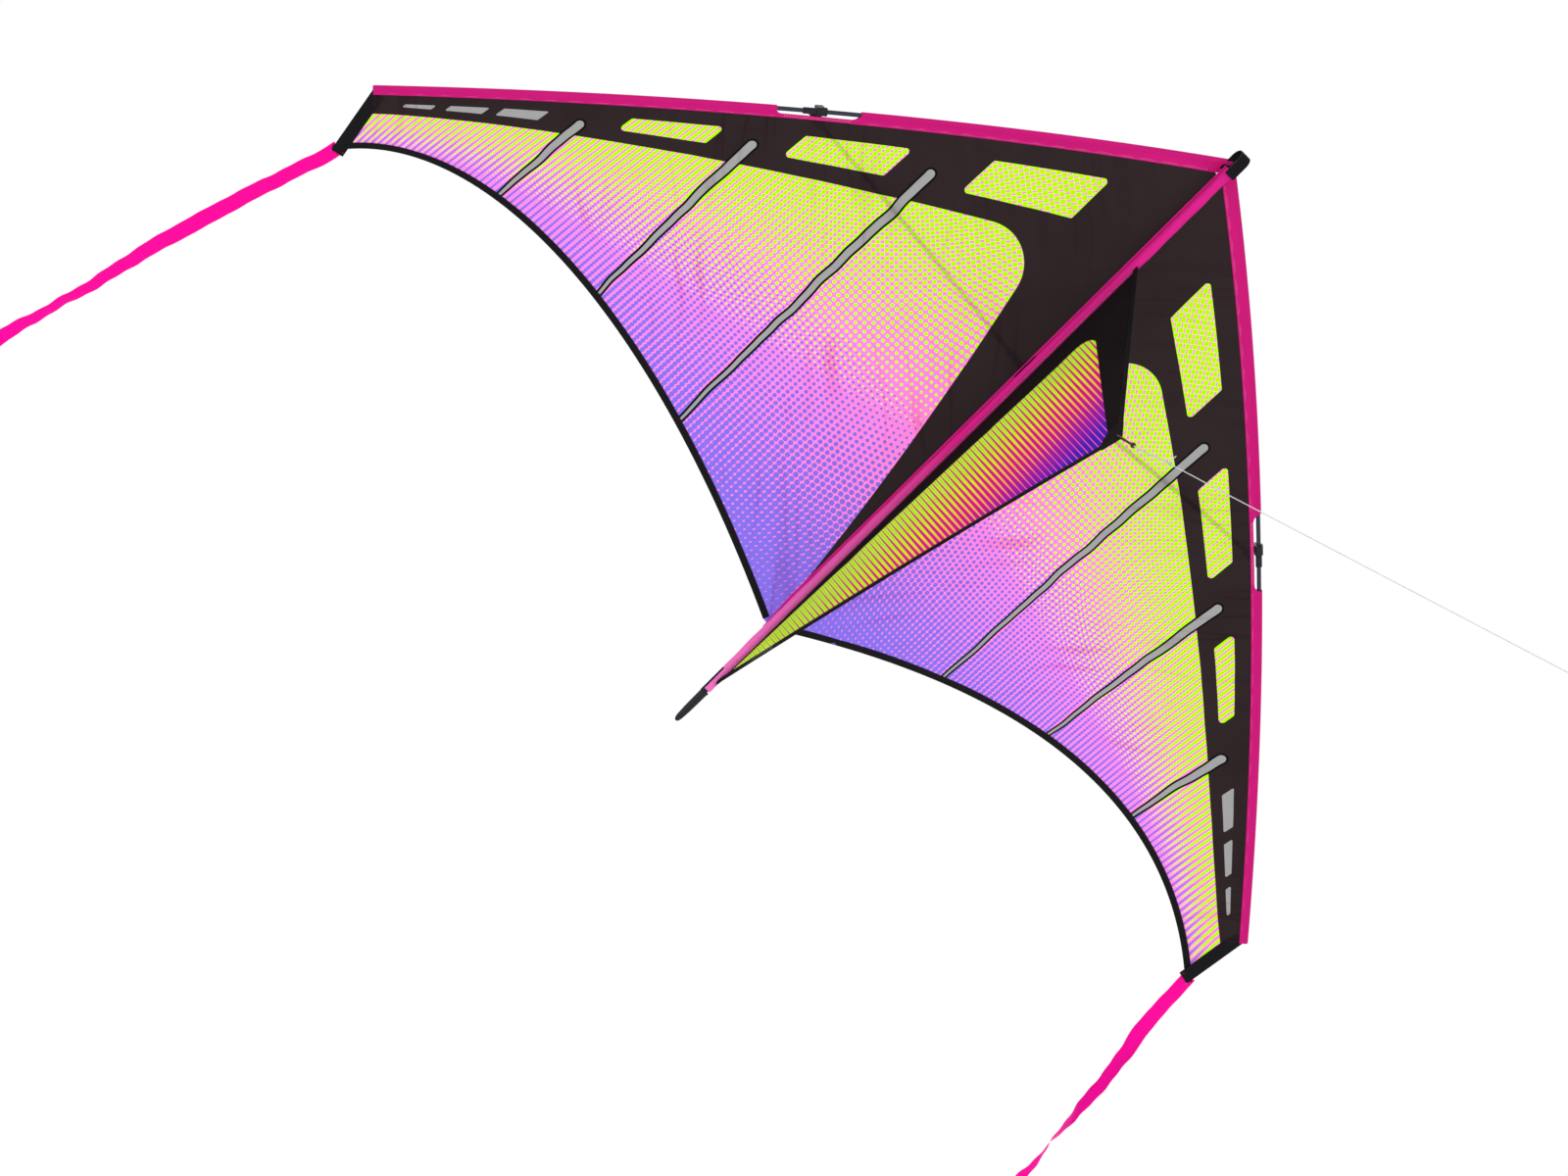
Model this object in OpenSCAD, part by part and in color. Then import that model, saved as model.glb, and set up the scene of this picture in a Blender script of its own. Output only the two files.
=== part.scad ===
// Single-line delta kite, assembled as it flies.
// Frame: origin at the tow point, the lower corner of the keel where the line ties on.
// +Y runs forward along the spine, +X to the kite's right wing, +Z up and away from the keel.

/* [Sail] */
// Distance between the two leading-edge tips
wingspan = 1520; // [1200:10:1900]
// How far each leading-edge tip sits behind the nose
sweep = 616; // [480:2:760]
// Forward bow of each leading edge at its middle
edge_bow = 27; // [5:1:45]
// Height that the tips have over the nose
tip_rise = 85; // [50:1:130]
// Length of the sail along the spine, from the nose to the trailing edge
root_chord = 722; // [560:2:880]
// Length of the short edge at each wingtip
tip_chord = 81; // [60:1:110]
// How far that edge leans inward over its length
tip_lean = 17; // [8:1:26]
// Slope of the trailing edge where it leaves the spine
trail_slope = 0.47; // [0.3:0.01:0.6]
// Thickness of each sail panel's solid
sail_t = 0.8; // [0.6:0.1:1.2]
// Width of the binding tape on the trailing edge
binding_w = 8; // [6:0.5:12]
// Thickness of the folded binding tape
binding_t = 2; // [1.6:0.1:3]
// Width of the webbing band at each wingtip
tip_band_w = 15; // [10:1:22]
// Thickness of the folded wingtip webbing
tip_band_t = 2.8; // [2:0.1:4]

/* [Leading edge] */
// Diameter of the inner leading-edge spar
edge_spar_d = 5; // [4:0.1:6]
// Diameter of the thinner outer leading-edge spar
tip_spar_d = 4; // [3:0.1:5]
// Wall of the leading-edge sleeve
sleeve_wall = 0.8; // [0.6:0.1:1.2]
// Depth of the sleeve behind the spar at the nose
sleeve_depth = 14; // [11:0.5:20]
// Depth of the sleeve behind the spar at the wingtip
sleeve_tip_depth = 7; // [6:0.5:10]
// Where the cut-out for the fitting starts, as a share of the leading edge
window_start = 0.458; // [0.42:0.002:0.47]
// Where that cut-out ends
window_end = 0.557; // [0.545:0.002:0.6]
// Where the spreader fitting sits on the leading edge
fitting_at = 0.505; // [0.5:0.001:0.515]
// Wall of the ferrules that join the spars and the spine rods
ferrule_wall = 0.4; // [0.3:0.1:0.8]
// Length of the ferrule on each leading edge
ferrule_len = 60; // [40:2:80]

/* [Spine and spreader] */
// Diameter of the spine rods
spine_d = 6; // [5:0.1:8]
// Distance from the nose to the joint of the two spine rods
spine_joint = 430; // [400:2:480]
// Length of the ferrule on that joint
spine_ferrule_len = 70; // [40:2:90]
// How far the spine rod runs past the end of the sail
spine_past = 128; // [124:1:160]
// Outer diameter of the spine sleeve
spine_sleeve_d = 12; // [11:0.5:15]
// Length of the cap on the tail end of the spine
tail_cap_len = 45; // [34:1:60]
// Length of the flexible tubes of the centre fitting
tube_len = 30; // [24:1:40]
// Diameter of the two spreader halves
spreader_d = 5; // [4:0.1:6]
// Distance of the spreader's centre fitting behind the nose
spreader_back = 315; // [280:1:340]
// Height of the spreader's centre over the spine
spreader_lift = 24; // [22:0.5:30]
// Height of the spreader's ends over the leading-edge spar
spreader_end_lift = 12; // [11:0.5:16]

/* [Keel] */
// Distance of the tow point behind the nose
tow_back = 291; // [240:1:340]
// Depth of the keel from the spine axis to the tow point
keel_depth = 289; // [230:1:350]
// Where the keel's front edge meets the spine, behind the nose
keel_front = 147; // [120:1:180]
// How far past the end of the sail the keel's tail meets the spine
keel_past = 90; // [20:1:92]
// Thickness of the keel panel
keel_t = 0.8; // [0.6:0.1:1.2]
// Width of the tape on the keel's free edges
keel_tape_w = 7; // [5:0.5:10]
// Radius of the eyelet for the tow loop
eyelet_r = 2.2; // [1.8:0.1:3]
// Radius of the webbing patch round it
patch_r = 26; // [16:1:40]

/* [Line and tails] */
// Diameter of the flying line
line_d = 1.2; // [0.8:0.1:2]
// Diameter of the cord of the tow loop
loop_d = 2; // [1.6:0.1:3]
// Diameter of the doubled leader
leader_d = 2.2; // [1.6:0.1:3]
// Width of each ribbon tail
tail_w = 18; // [12:1:24]
// Thickness of each ribbon tail's solid
tail_t = 0.6; // [0.5:0.1:1]

/* [Hidden] */
// Faces on round parts
$fn = 48;
// Gap between cloth and the hard parts that it only covers
cloth_gap = 0.4;
// Gap between a rod and the socket or ferrule that it slides into
slip_gap = 0.1;
// Sideways place of each wing's fold line, just outside the spine sleeve
fold_x = spine_sleeve_d / 2 + 1.5;
// Half the span, nose datum and spine height in the tow-point frame
half_span = wingspan / 2;
nose_y = tow_back;
spine_z = keel_depth;
// Height of the fold lines and of the sail's root edges over the spine axis
root_lift = spine_sleeve_d / 2 + 1;
fold_z = spine_z + root_lift;
// Height of the leading-edge spars over the spine at the nose
nose_lift = 14;
// Share of the tip rise that comes evenly; the rest comes as an upward curve
even_rise = 0.39;
// Offset of the leading-edge spar behind the sail's nose datum
spar_set_y = 9;
// Radius of the round front of the sleeve
sleeve_r = max(edge_spar_d, tip_spar_d + 2 * (slip_gap + ferrule_wall)) / 2 + cloth_gap + sleeve_wall;
// Height of the sleeve's flat rear edge
seam_t = 1.2;
// How deep sewn pieces run into each other
seam_lap = 3;
// Distances behind the nose of the spine's end, of its sleeve's end and of the keel's tail
spine_len = root_chord + spine_past;
sleeve_end = spine_len - 28;
keel_tail = root_chord + keel_past;
// Front end of the spine's nose cap, ahead of the nose
cap_front = 16;
// Wall of the moulded end caps
cap_wall = 1.2;
// Wall and outer diameter of the centre fitting's flexible tubes
tube_wall = 1.4;
tube_d = spreader_d + 2 * (slip_gap + 0.1 + tube_wall);
// Outer diameters of the ferrules
spine_ferrule_d = spine_d + 2 * (slip_gap + ferrule_wall);
edge_ferrule_d = tip_spar_d + 2 * (slip_gap + ferrule_wall);
// Place of the eyelet behind and above the tow point
eyelet_back = 1.5;
eyelet_up = 9;
// Route of the tow loop's two legs: from the eyelet round the keel's corner to the knot
loop_side = [[0, -1.5, 9], [1.3, -1.5, 8.9], [2.6, -1.4, 7.6], [3, -1, 4], [3, -0.5, 0], [2.9, 0.5, -8],
  [2.4, 1.5, -17], [1.4, 2.4, -24], [1.2, 3, -28.5]];
// Knot that closes the tow loop
knot_at = [0, 3.2, -32];
// Route of the doubled leader, from the knot to where the single line starts
leader_route = [[0, 3.5, -35.6], [0, 4, -40], [0, 5, -50], [0, 7, -60], [0, 9, -75], [0, 12, -90],
  [0, 14.5, -105], [0, 17, -120], [0, 18, -127]];
leader_knot_at = [0, 18.4, -129.6];
// Route of the flying line, taut and nearly straight down to its end loop
line_route = [[0, 18.8, -132.2], [0, 20, -140], [0, 26, -180], [0, 36, -250], [0, 48, -330], [0, 60, -410],
  [0, 72, -490], [0, 84, -570], [0, 96, -650], [0, 108, -730], [0, 120, -810], [0, 132, -890],
  [0, 144, -970], [0, 153, -1030], [0, 162, -1090], [0, 168, -1130], [0, 171, -1150]];
// Knot and loop at the lower end of the line, and the way the line runs there
end_knot_r = 2.4;
end_knot_at = [0, 171.3, -1152.2];
end_loop_r = 11;
line_dir = [0, 0.15, -0.98];
// Routes of the ribbon tails, outward, forward and up from the wingtip's rear corner
right_tail_route = [[-4, 9, 0], [-1, -13, 6], [7, -45, 15], [20, -103, 32], [31, -163, 51], [42, -223, 68],
  [50, -293, 89], [63, -371, 113], [69, -412, 125], [75, -463, 140], [81, -513, 155], [87, -563, 170]];
left_tail_route = [[-4, 9, 0], [2, -23, 8], [14, -73, 24], [27, -108, 34], [42, -159, 49], [53, -204, 63],
  [63, -245, 75], [76, -293, 89], [87, -343, 104], [99, -393, 119], [110, -453, 137], [120, -508, 153],
  [129, -563, 170]];
// Stations along the span and along the chord of a sail panel
span_steps = 18;
chord_steps = 6;
// Stations of one swept sleeve, spar or tape
edge_steps = 7;

// Colours
sail_col = [0.80, 0.40, 0.85];
sleeve_col = [0.85, 0.10, 0.50];
black_col = [0.05, 0.05, 0.06];
carbon_col = [0.12, 0.12, 0.14];
metal_col = [0.75, 0.76, 0.78];
cord_col = [0.92, 0.92, 0.92];
ribbon_col = [0.90, 0.00, 0.60];
red_col = [0.45, 0.05, 0.08];

// ---- Curves ----------------------------------------------------------------------------

// Centre line of the leading-edge spar, u from 0 at the nose to 1 at the tip
function edge(u) = [
  half_span * u,
  nose_y + spar_set_y - sweep * u + 4 * edge_bow * u * (1 - u),
  spine_z + nose_lift + tip_rise * (even_rise * u + (1 - even_rise) * u * u)
];
// Its direction, outward
function edge_dir(u) = unit([
  half_span,
  -sweep + 4 * edge_bow * (1 - 2 * u),
  tip_rise * (even_rise + 2 * (1 - even_rise) * u)
]);
function unit(v) = v / norm(v);
// Direction square to the spar, back into the sail
function edge_back(u) = let (t = edge_dir(u), c = [0, -1, 0]) unit(c - t * (c * t));
// Direction square to both, up
function edge_up(u) = cross(edge_dir(u), edge_back(u)) * -1;

// Corner of the wingtip on the trailing edge
tip_corner = edge(1) + [-tip_lean, -tip_chord, -2];
// Start of the trailing edge at the fold line
trail_root = [fold_x + cloth_gap, nose_y - root_chord, fold_z];
// Handles of the trailing edge, a cubic Bezier curve from the root to the wingtip corner
root_handle = 0.45 * half_span;
tip_handle = 0.17 * half_span;
// Heights of the two handles, as shares of the tips' rise
root_climb = 1.1266;
tip_climb = 0.8047;
trail_a = trail_root + [root_handle, root_handle * trail_slope, root_climb * tip_rise];
trail_b = tip_corner + [-tip_handle, tip_handle, tip_climb * tip_rise];
function trail(s) = pow(1 - s, 3) * trail_root + 3 * s * pow(1 - s, 2) * trail_a
  + 3 * s * s * (1 - s) * trail_b + pow(s, 3) * tip_corner;

// Depth of the sleeve behind the spar
function sleeve_back(u) = sleeve_depth + (sleeve_tip_depth - sleeve_depth) * u;
// Front edge of the sail, on the sleeve's seam, at the same share of the span as the trailing edge
edge_start = (fold_x + cloth_gap + 0.66 * sleeve_depth) / half_span;
function span_share(s) = let (x = trail(s)[0], x0 = trail_root[0])
  edge_start + (1 - edge_start) * (x - x0) / (tip_corner[0] - x0);
function sail_front(s) = let (u = span_share(s)) edge(u) + edge_back(u) * (sleeve_back(u) - seam_lap);
// A point of the sail: s along the span, v along the chord
function sail_point(s, v) = sail_front(s) + (trail(s) - sail_front(s)) * v;
function chord(s) = norm(trail(s) - sail_front(s));

// The spreader's two ends
spreader_in = [fold_x + 8, nose_y - spreader_back + 1.5, spine_z + spreader_lift + 1];
spreader_out = edge(fitting_at) + [-3, -8, spreader_end_lift];
spreader_dir = unit(spreader_out - spreader_in);

// ---- Builders --------------------------------------------------------------------------

function ramp(a, b, steps) = [for (i = [0:steps]) a + (b - a) * i / steps];

// Triangles of a quad a, b, c, d
function quad(a, b, c, d) = [[a, b, c], [a, c, d]];

// A solid through rings of points; every ring has the same number of points, all rings convex
module swept(rings) {
  n = len(rings[0]);
  m = len(rings);
  sides = [for (k = [0:m - 2], i = [0:n - 1])
    each quad(k * n + i, k * n + (i + 1) % n, (k + 1) * n + (i + 1) % n, (k + 1) * n + i)];
  first = [for (i = [1:n - 2]) [0, i + 1, i]];
  last = [for (i = [1:n - 2]) [(m - 1) * n, (m - 1) * n + i, (m - 1) * n + i + 1]];
  polyhedron([for (r = rings) each r], concat(sides, first, last));
}

// A hollow solid through paired rings, outer and inner
module swept_tube(outer, inner) {
  n = len(outer[0]);
  m = len(outer);
  base = m * n;
  walls = [for (k = [0:m - 2], i = [0:n - 1])
    each quad(k * n + i, k * n + (i + 1) % n, (k + 1) * n + (i + 1) % n, (k + 1) * n + i)];
  bores = [for (k = [0:m - 2], i = [0:n - 1])
    each quad(base + k * n + i, base + (k + 1) * n + i,
      base + (k + 1) * n + (i + 1) % n, base + k * n + (i + 1) % n)];
  first = [for (i = [0:n - 1]) each quad(i, base + i, base + (i + 1) % n, (i + 1) % n)];
  e = (m - 1) * n;
  last = [for (i = [0:n - 1]) each quad(e + i, e + (i + 1) % n, base + e + (i + 1) % n, base + e + i)];
  polyhedron([for (r = concat(outer, inner)) each r], concat(walls, bores, first, last));
}

// A thin solid on a grid of points, half the thickness above and half below
module sheet(grid, t) {
  m = len(grid);
  n = len(grid[0]);
  base = m * n;
  lift = [0, 0, t / 2];
  tops = [for (i = [0:m - 2], j = [0:n - 2])
    each quad(i * n + j, (i + 1) * n + j, (i + 1) * n + j + 1, i * n + j + 1)];
  bottoms = [for (f = tops) [base + f[0], base + f[2], base + f[1]]];
  rim = concat(
    [for (i = [0:m - 2]) i * n], [for (j = [0:n - 2]) (m - 1) * n + j],
    [for (i = [m - 1:-1:1]) i * n + n - 1], [for (j = [n - 1:-1:1]) j]);
  k = len(rim);
  walls = [for (i = [0:k - 1])
    each quad(rim[i], base + rim[i], base + rim[(i + 1) % k], rim[(i + 1) % k])];
  polyhedron(concat([for (r = grid, p = r) p + lift], [for (r = grid, p = r) p - lift]),
    concat(tops, bottoms, walls));
}

// Turns a child that stands on +Z to point along d, and puts it at p
module aim(p, d) translate(p) rotate([0, acos(d[2]), atan2(d[1], d[0])]) children();

// A round tube along a list of points, with a ring at each point
module cord(points, d, sides = 8) {
  m = len(points);
  function along(k) = unit(points[min(k + 1, m - 1)] - points[max(k - 1, 0)]);
  function side(k) = unit(cross(along(k), [0.05, 1, 0.02]));
  swept([for (k = [0:m - 1]) let (a = side(k), b = cross(along(k), a))
    [for (i = [0:sides - 1]) points[k] - d / 2 * (a * cos(360 * i / sides) - b * sin(360 * i / sides))]]);
}

// ---- Spine -----------------------------------------------------------------------------

// A rod along the spine between two distances behind the nose
module spine_bar(from, to, d) translate([0, nose_y - to, spine_z]) rotate([-90, 0, 0])
  cylinder(d = d, h = to - from);

// The spine is two rods that meet in a ferrule
module spine_front_rod() color(carbon_col) spine_bar(2 - cap_front, spine_joint - 0.2, spine_d);

module spine_rear_rod() color(carbon_col) spine_bar(spine_joint + 0.2, spine_len, spine_d);

module spine_ferrule() color(metal_col) difference() {
  spine_bar(spine_joint - spine_ferrule_len / 2, spine_joint + spine_ferrule_len / 2, spine_ferrule_d);
  spine_bar(spine_joint - spine_ferrule_len, spine_joint + spine_ferrule_len, spine_d + 2 * slip_gap);
}

// Round sleeve with a flat strip on top, where the two sail panels are sewn
module spine_sleeve() {
  strip_w = 2 * fold_x - 1.8;
  color(sleeve_col) difference() {
    translate([0, nose_y + 2, spine_z]) rotate([90, 0, 0]) linear_extrude(sleeve_end + 2) difference() {
      union() {
        circle(d = spine_sleeve_d);
        translate([-strip_w / 2, root_lift - 1.4]) square([strip_w, 1.8]);
        translate([-1.5, 0]) square([3, root_lift - 0.4]);
      }
      circle(d = spine_sleeve_d - 2 * sleeve_wall);
    }
    // Opening on top for the centre fitting
    translate([-strip_w, nose_y - spreader_back - 16, spine_z]) cube([2 * strip_w, 32, 20]);
  }
}

module spine_nose_cap() color(black_col) difference() {
  spine_bar(-cap_front, 12, spine_d + 2 * cap_wall);
  spine_bar(2 - cap_front, 14, spine_d + 0.04);
}

// Rounded cap that covers the tail end of the spine and hooks the sleeve's end
module spine_tail_cap() {
  cap_d = spine_d + 2.6;
  cap_start = spine_len - 24;
  cap_end = cap_start + tail_cap_len - cap_d / 2;
  color(black_col) difference() {
    union() {
      spine_bar(cap_start, cap_end, cap_d);
      translate([0, nose_y - cap_end, spine_z]) sphere(d = cap_d);
      spine_bar(cap_start - 2, cap_start + 1, cap_d + 1.4);
    }
    spine_bar(cap_start - 6, spine_len + 0.2, spine_d + 0.04);
  }
}

// Webbing strap folded round the nose: under the spine, round the front and over the top
module nose_webbing() {
  strap_w = spine_sleeve_d + 1;
  strap_t = 1.4;
  bend_r = spine_sleeve_d / 2 + 0.4;
  front = 20;
  back_low = 4;
  color(black_col) translate([-strap_w / 2, nose_y, spine_z]) rotate([90, 0, 90]) linear_extrude(strap_w)
    difference() {
      union() {
        translate([front, 0]) circle(r = bend_r + strap_t);
        translate([-back_low, -bend_r - strap_t]) square([front + back_low, 2 * (bend_r + strap_t)]);
      }
      translate([front, 0]) circle(r = bend_r);
      translate([-back_low - 1, -bend_r]) square([front + back_low + 1, 2 * bend_r]);
    }
}

// Moulded saddle that sits on the spine rod and carries the two flexible centre tubes
module centre_fitting() {
  saddle_w = spine_d + 5;
  saddle_len = 26;
  eye_r = tube_d / 2 + 2.9;
  y = nose_y - spreader_back;
  color(black_col) difference() {
    union() {
      translate([-saddle_w / 2 + 2.2, y - saddle_len / 2, spine_z])
        cube([saddle_w - 4.4, saddle_len, spreader_lift - 4]);
      translate([-saddle_w / 2, y - eye_r, spine_z + spine_sleeve_d])
        cube([saddle_w, 2 * eye_r, spreader_lift - spine_sleeve_d]);
      translate([-saddle_w / 2, y, spine_z + spreader_lift]) rotate([0, 90, 0])
        cylinder(r = eye_r, h = saddle_w);
    }
    spine_bar(spreader_back - 40, spreader_back + 40, spine_d + 0.1);
    translate([-20, y, spine_z + spreader_lift]) rotate([0, 90, 0])
      cylinder(d = tube_d + 0.1, h = 40);
  }
}

// Flexible tube from the centre fitting over the inner end of a spreader half
module centre_tube() {
  start = [0.4, nose_y - spreader_back, spine_z + spreader_lift];
  bend = spreader_in - spreader_dir * 2.5;
  ring = [for (i = [0:11]) [cos(30 * i), sin(30 * i)]];
  function loop(p, d, r) = let (a = unit(cross(d, [0, 1, 0])), b = cross(d, a))
    [for (q = ring) p + r * (a * q[0] - b * q[1])];
  path = [start, start + [5.1, 0, 0], bend, spreader_in, spreader_in + spreader_dir * (tube_len - 12)];
  heading = [[1, 0, 0], [1, 0, 0], unit([1, 0, 0] + spreader_dir), spreader_dir, spreader_dir];
  color([0.2, 0.2, 0.22]) swept_tube(
    [for (k = [0:4]) loop(path[k], heading[k], tube_d / 2)],
    [for (k = [0:4]) loop(path[k], heading[k], spreader_d / 2 + slip_gap + 0.1)]);
}

// ---- Keel and line ---------------------------------------------------------------------

// Line that the keel swings about, just under the spine sleeve
keel_axis_z = spine_z - spine_sleeve_d / 2 - 1.2;
keel_top = keel_axis_z - 0.3;
keel_nose = [nose_y - keel_front, keel_top];
keel_end = [nose_y - keel_tail, keel_top];
// Lowest corner of the cloth, a little above the tow point that the loop hangs from
keel_corner = [0, 2];
// Inward sweep of the keel's long rear edge at its middle
keel_hollow = 6;
// Rear edge of the keel, a shallow arc from the corner to the tail
function keel_rear(s) = keel_corner + (keel_end - keel_corner) * s + [0, 4 * keel_hollow * s * (1 - s)];
// Directions square to the two free edges, into the cloth
function into(d, side) = side * [-d[1], d[0]] / norm(d);
front_in = into(keel_nose - keel_corner, 1);
rear_in = into(keel_end - keel_corner, -1);

// Outline of the keel, moved in from its free edges by inset and up past its top edge by over
module keel_outline(inset = 0, over = 0) polygon(concat(
  [keel_nose + [inset / front_in[0], over], keel_end + [inset / rear_in[0], over]],
  [for (s = [0.875:-0.125:0.125]) keel_rear(s) + inset * rear_in],
  [keel_corner + inset * (front_in + rear_in) / (1 + front_in * rear_in)]));

// Stands an outline drawn on Y and Z up in the plane of the keel
module in_keel_plane(t) translate([-t / 2, 0, 0]) rotate([90, 0, 90]) linear_extrude(t) children();

module keel_panel() color(black_col) difference() {
  in_keel_plane(keel_t) keel_outline(2);
  eyelet_hole();
}

// Tape folded over the keel's two free edges
module keel_edge_tape() {
  tape_t = 1.8;
  color(black_col) difference() {
    in_keel_plane(tape_t) difference() {
      keel_outline();
      keel_outline(keel_tape_w, 1);
    }
    eyelet_hole();
  }
}

// Eyelet through the keel's corner for the tow loop
module eyelet_hole() translate([-10, -eyelet_back, eyelet_up]) rotate([0, 90, 0])
  cylinder(r = eyelet_r, h = 20);

// Webbing patch on the keel's corner
module tow_patch() color(black_col) difference() {
  in_keel_plane(2.6) intersection() {
    keel_outline();
    translate([-8, 0]) circle(r = patch_r);
  }
  eyelet_hole();
}

module tow_loop() color(red_col) cord(concat(
  [for (k = [len(loop_side) - 1:-1:1]) let (p = loop_side[k]) [-p[0], p[1], p[2]]], loop_side), loop_d);
module tow_knot() color(red_col) translate(knot_at) ball(3.6);
module ball(r) sphere(r = r, $fn = 24);

module line_leader() color(cord_col) cord(leader_route, leader_d);
module leader_knot() color(cord_col) translate(leader_knot_at) ball(2.6);

module flying_line() color(cord_col) cord(line_route, line_d);

// Knotted loop at the lower end of the line
module line_end_loop() color(cord_col) union() {
  translate(end_knot_at) ball(end_knot_r);
  translate(end_knot_at + end_loop_r * line_dir) rotate([0, 90, 0])
    rotate_extrude() translate([end_loop_r * norm(line_dir), 0]) circle(r = line_d, $fn = 16);
}

// ---- One wing; the other is its mirror image --------------------------------------------

// Share of the chord where a strip of the given width starts at the trailing edge
function strip_start(s, w) = 1 - w / chord(s);

// Ripstop panel from the leading-edge sleeve to just inside its bindings
module sail() {
  s_end = 1 - 0.007;
  color(sail_col) sheet([for (s = ramp(0, s_end, span_steps))
    [for (v = ramp(0, strip_start(s, binding_w - seam_lap), chord_steps)) sail_point(s, v)]], sail_t);
}

// Tape folded over the trailing edge
module trailing_edge_binding() color(black_col) sheet([for (s = ramp(0, 1, span_steps))
  [for (v = [strip_start(s, binding_w), 1]) sail_point(s, v)]], binding_t);

// Webbing folded over the wingtip, from the leading edge to the trailing corner
module tip_webbing() {
  front = edge(1) + edge_back(1) * (sleeve_tip_depth - 4);
  rear = tip_corner + [0, 3, 0];
  across = [tip_band_w, -4, -1.5];
  color(black_col) sheet([for (k = ramp(0, 1, 4)) let (p = front + (rear - front) * k)
    [p, p - across * (1 - 0.15 * k)]], tip_band_t);
}

// Outline of the sleeve's section: a round front that tapers to the seam behind
function sleeve_ring(u, r, depth, edge_h) = [
  for (a = [60:30:300]) [r * cos(a), r * sin(a)],
  [depth * 0.5, -(r * 0.45 + edge_h * 0.3)],
  [depth, -edge_h / 2], [depth, edge_h / 2],
  [depth * 0.5, r * 0.45 + edge_h * 0.3]
];
// The bore inside it, point for point
function sleeve_bore(r) = [
  for (a = [60:30:300]) [r * cos(a), r * sin(a)],
  [r * cos(330), r * sin(330)], [r * cos(350), r * sin(350)], [r * cos(10), r * sin(10)],
  [r * cos(30), r * sin(30)]
];
function on_edge(u, q) = edge(u) + edge_back(u) * q[0] + edge_up(u) * q[1];
// A ring of points cut off square to the span at x
function cut_at(points, u, x) = let (t = edge_dir(u)) [for (p = points) p + t * ((x - p[0]) / t[0])];

// One run of the sleeve between two stations
module sleeve_run(from, to, steps, cut_start) {
  stations = ramp(from, to, steps);
  outer = [for (u = stations)
    [for (q = sleeve_ring(u, sleeve_r, sleeve_back(u), seam_t)) on_edge(u, q)]];
  inner = [for (u = stations)
    [for (q = sleeve_bore(sleeve_r - sleeve_wall)) on_edge(u, q)]];
  cut_x = fold_x + 0.6;
  function trimmed(rings) = [for (k = [0:len(rings) - 1])
    k == 0 && cut_start ? cut_at(rings[k], from, cut_x) : rings[k]];
  swept_tube(trimmed(outer), trimmed(inner));
}

// The hem that is left beside the sail where the sleeve is cut out
module sleeve_hem() {
  hem_w = 4.5;
  hem_t = seam_t - 0.3;
  lap = 0.006;
  swept([for (u = ramp(window_start - lap, window_end + lap, 3)) let (d = sleeve_back(u) - 0.2)
    [for (q = [[d - hem_w, -hem_t / 2], [d, -hem_t / 2], [d, hem_t / 2], [d - hem_w, hem_t / 2]])
      on_edge(u, q)]]);
}

module leading_edge_sleeve() color(sleeve_col) union() {
  sleeve_run(edge_start - 0.006, window_start, edge_steps, true);
  sleeve_run(window_end, 0.999, edge_steps, false);
  sleeve_hem();
}

// Rods that follow the leading edge
module edge_rod(from, to, d, steps) {
  ring = [for (i = [0:11]) [d / 2 * cos(30 * i), d / 2 * sin(30 * i)]];
  swept([for (u = ramp(from, to, steps)) [for (q = ring) on_edge(u, q)]]);
}
module edge_tube(from, to, d_out, d_in, steps) {
  ring = [for (i = [0:11]) [cos(30 * i), sin(30 * i)]];
  stations = ramp(from, to, steps);
  swept_tube([for (u = stations) [for (q = ring) on_edge(u, q * d_out / 2)]],
    [for (u = stations) [for (q = ring) on_edge(u, q * d_in / 2)]]);
}
// Stations of the spar joint and of the rod ends
edge_len = norm(edge(1) - edge(0));
rod_start = edge_start + 0.012;
rod_joint = window_end + 0.014;
rod_end = 0.99;

module inner_spar() color(carbon_col) edge_rod(rod_start, rod_joint - 0.001, edge_spar_d, 9);
module outer_spar() color(carbon_col) edge_rod(rod_joint + 0.001, rod_end, tip_spar_d, 9);
// Slim tube that fits over the thinner outer spar and butts against the inner one
module spar_ferrule() color(metal_col)
  edge_tube(rod_joint, rod_joint + ferrule_len / edge_len, edge_ferrule_d, tip_spar_d + 2 * slip_gap, 3);

module nose_end_cap() color(black_col)
  edge_rod(rod_start - 0.006, rod_start - 0.0004, edge_spar_d + 0.4, 1);
module tip_cap() color(black_col) edge_rod(rod_end + 0.0004, rod_end + 0.007, tip_spar_d + 0.6, 1);

// Moulded fitting: a collar round the spar, with a socket above it for the spreader
module spreader_fitting() {
  at = edge(fitting_at);
  dir = edge_dir(fitting_at);
  collar_len = 12;
  socket_len = 15;
  color(black_col) difference() {
    union() {
      aim(at - dir * collar_len / 2, dir) cylinder(d = edge_spar_d + 5, h = collar_len);
      translate(at) rotate([0, 0, atan2(dir[1], dir[0])])
        translate([-4.5, -4.5, 1]) cube([9, 8.5, spreader_end_lift]);
      aim(spreader_out - spreader_dir * (socket_len - 5), spreader_dir)
        cylinder(d = spreader_d + 4.4, h = socket_len + 1);
    }
    aim(at - dir * 20, dir) cylinder(d = edge_spar_d + 0.3, h = 40);
    aim(spreader_out - spreader_dir * 30, spreader_dir)
      cylinder(d = spreader_d + 1.4 + 2 * slip_gap, h = 30 + 2.4);
  }
}

// Ring fixed on the spar outboard of the fitting, so that it can't slide outward
module fitting_stop() {
  at = fitting_at + 7 / edge_len;
  dir = edge_dir(at);
  color(black_col) aim(edge(at), dir) difference() {
    cylinder(d = edge_spar_d + 2.4, h = 14);
    translate([0, 0, -1]) cylinder(d = edge_spar_d + 0.3, h = 20);
  }
}

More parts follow.
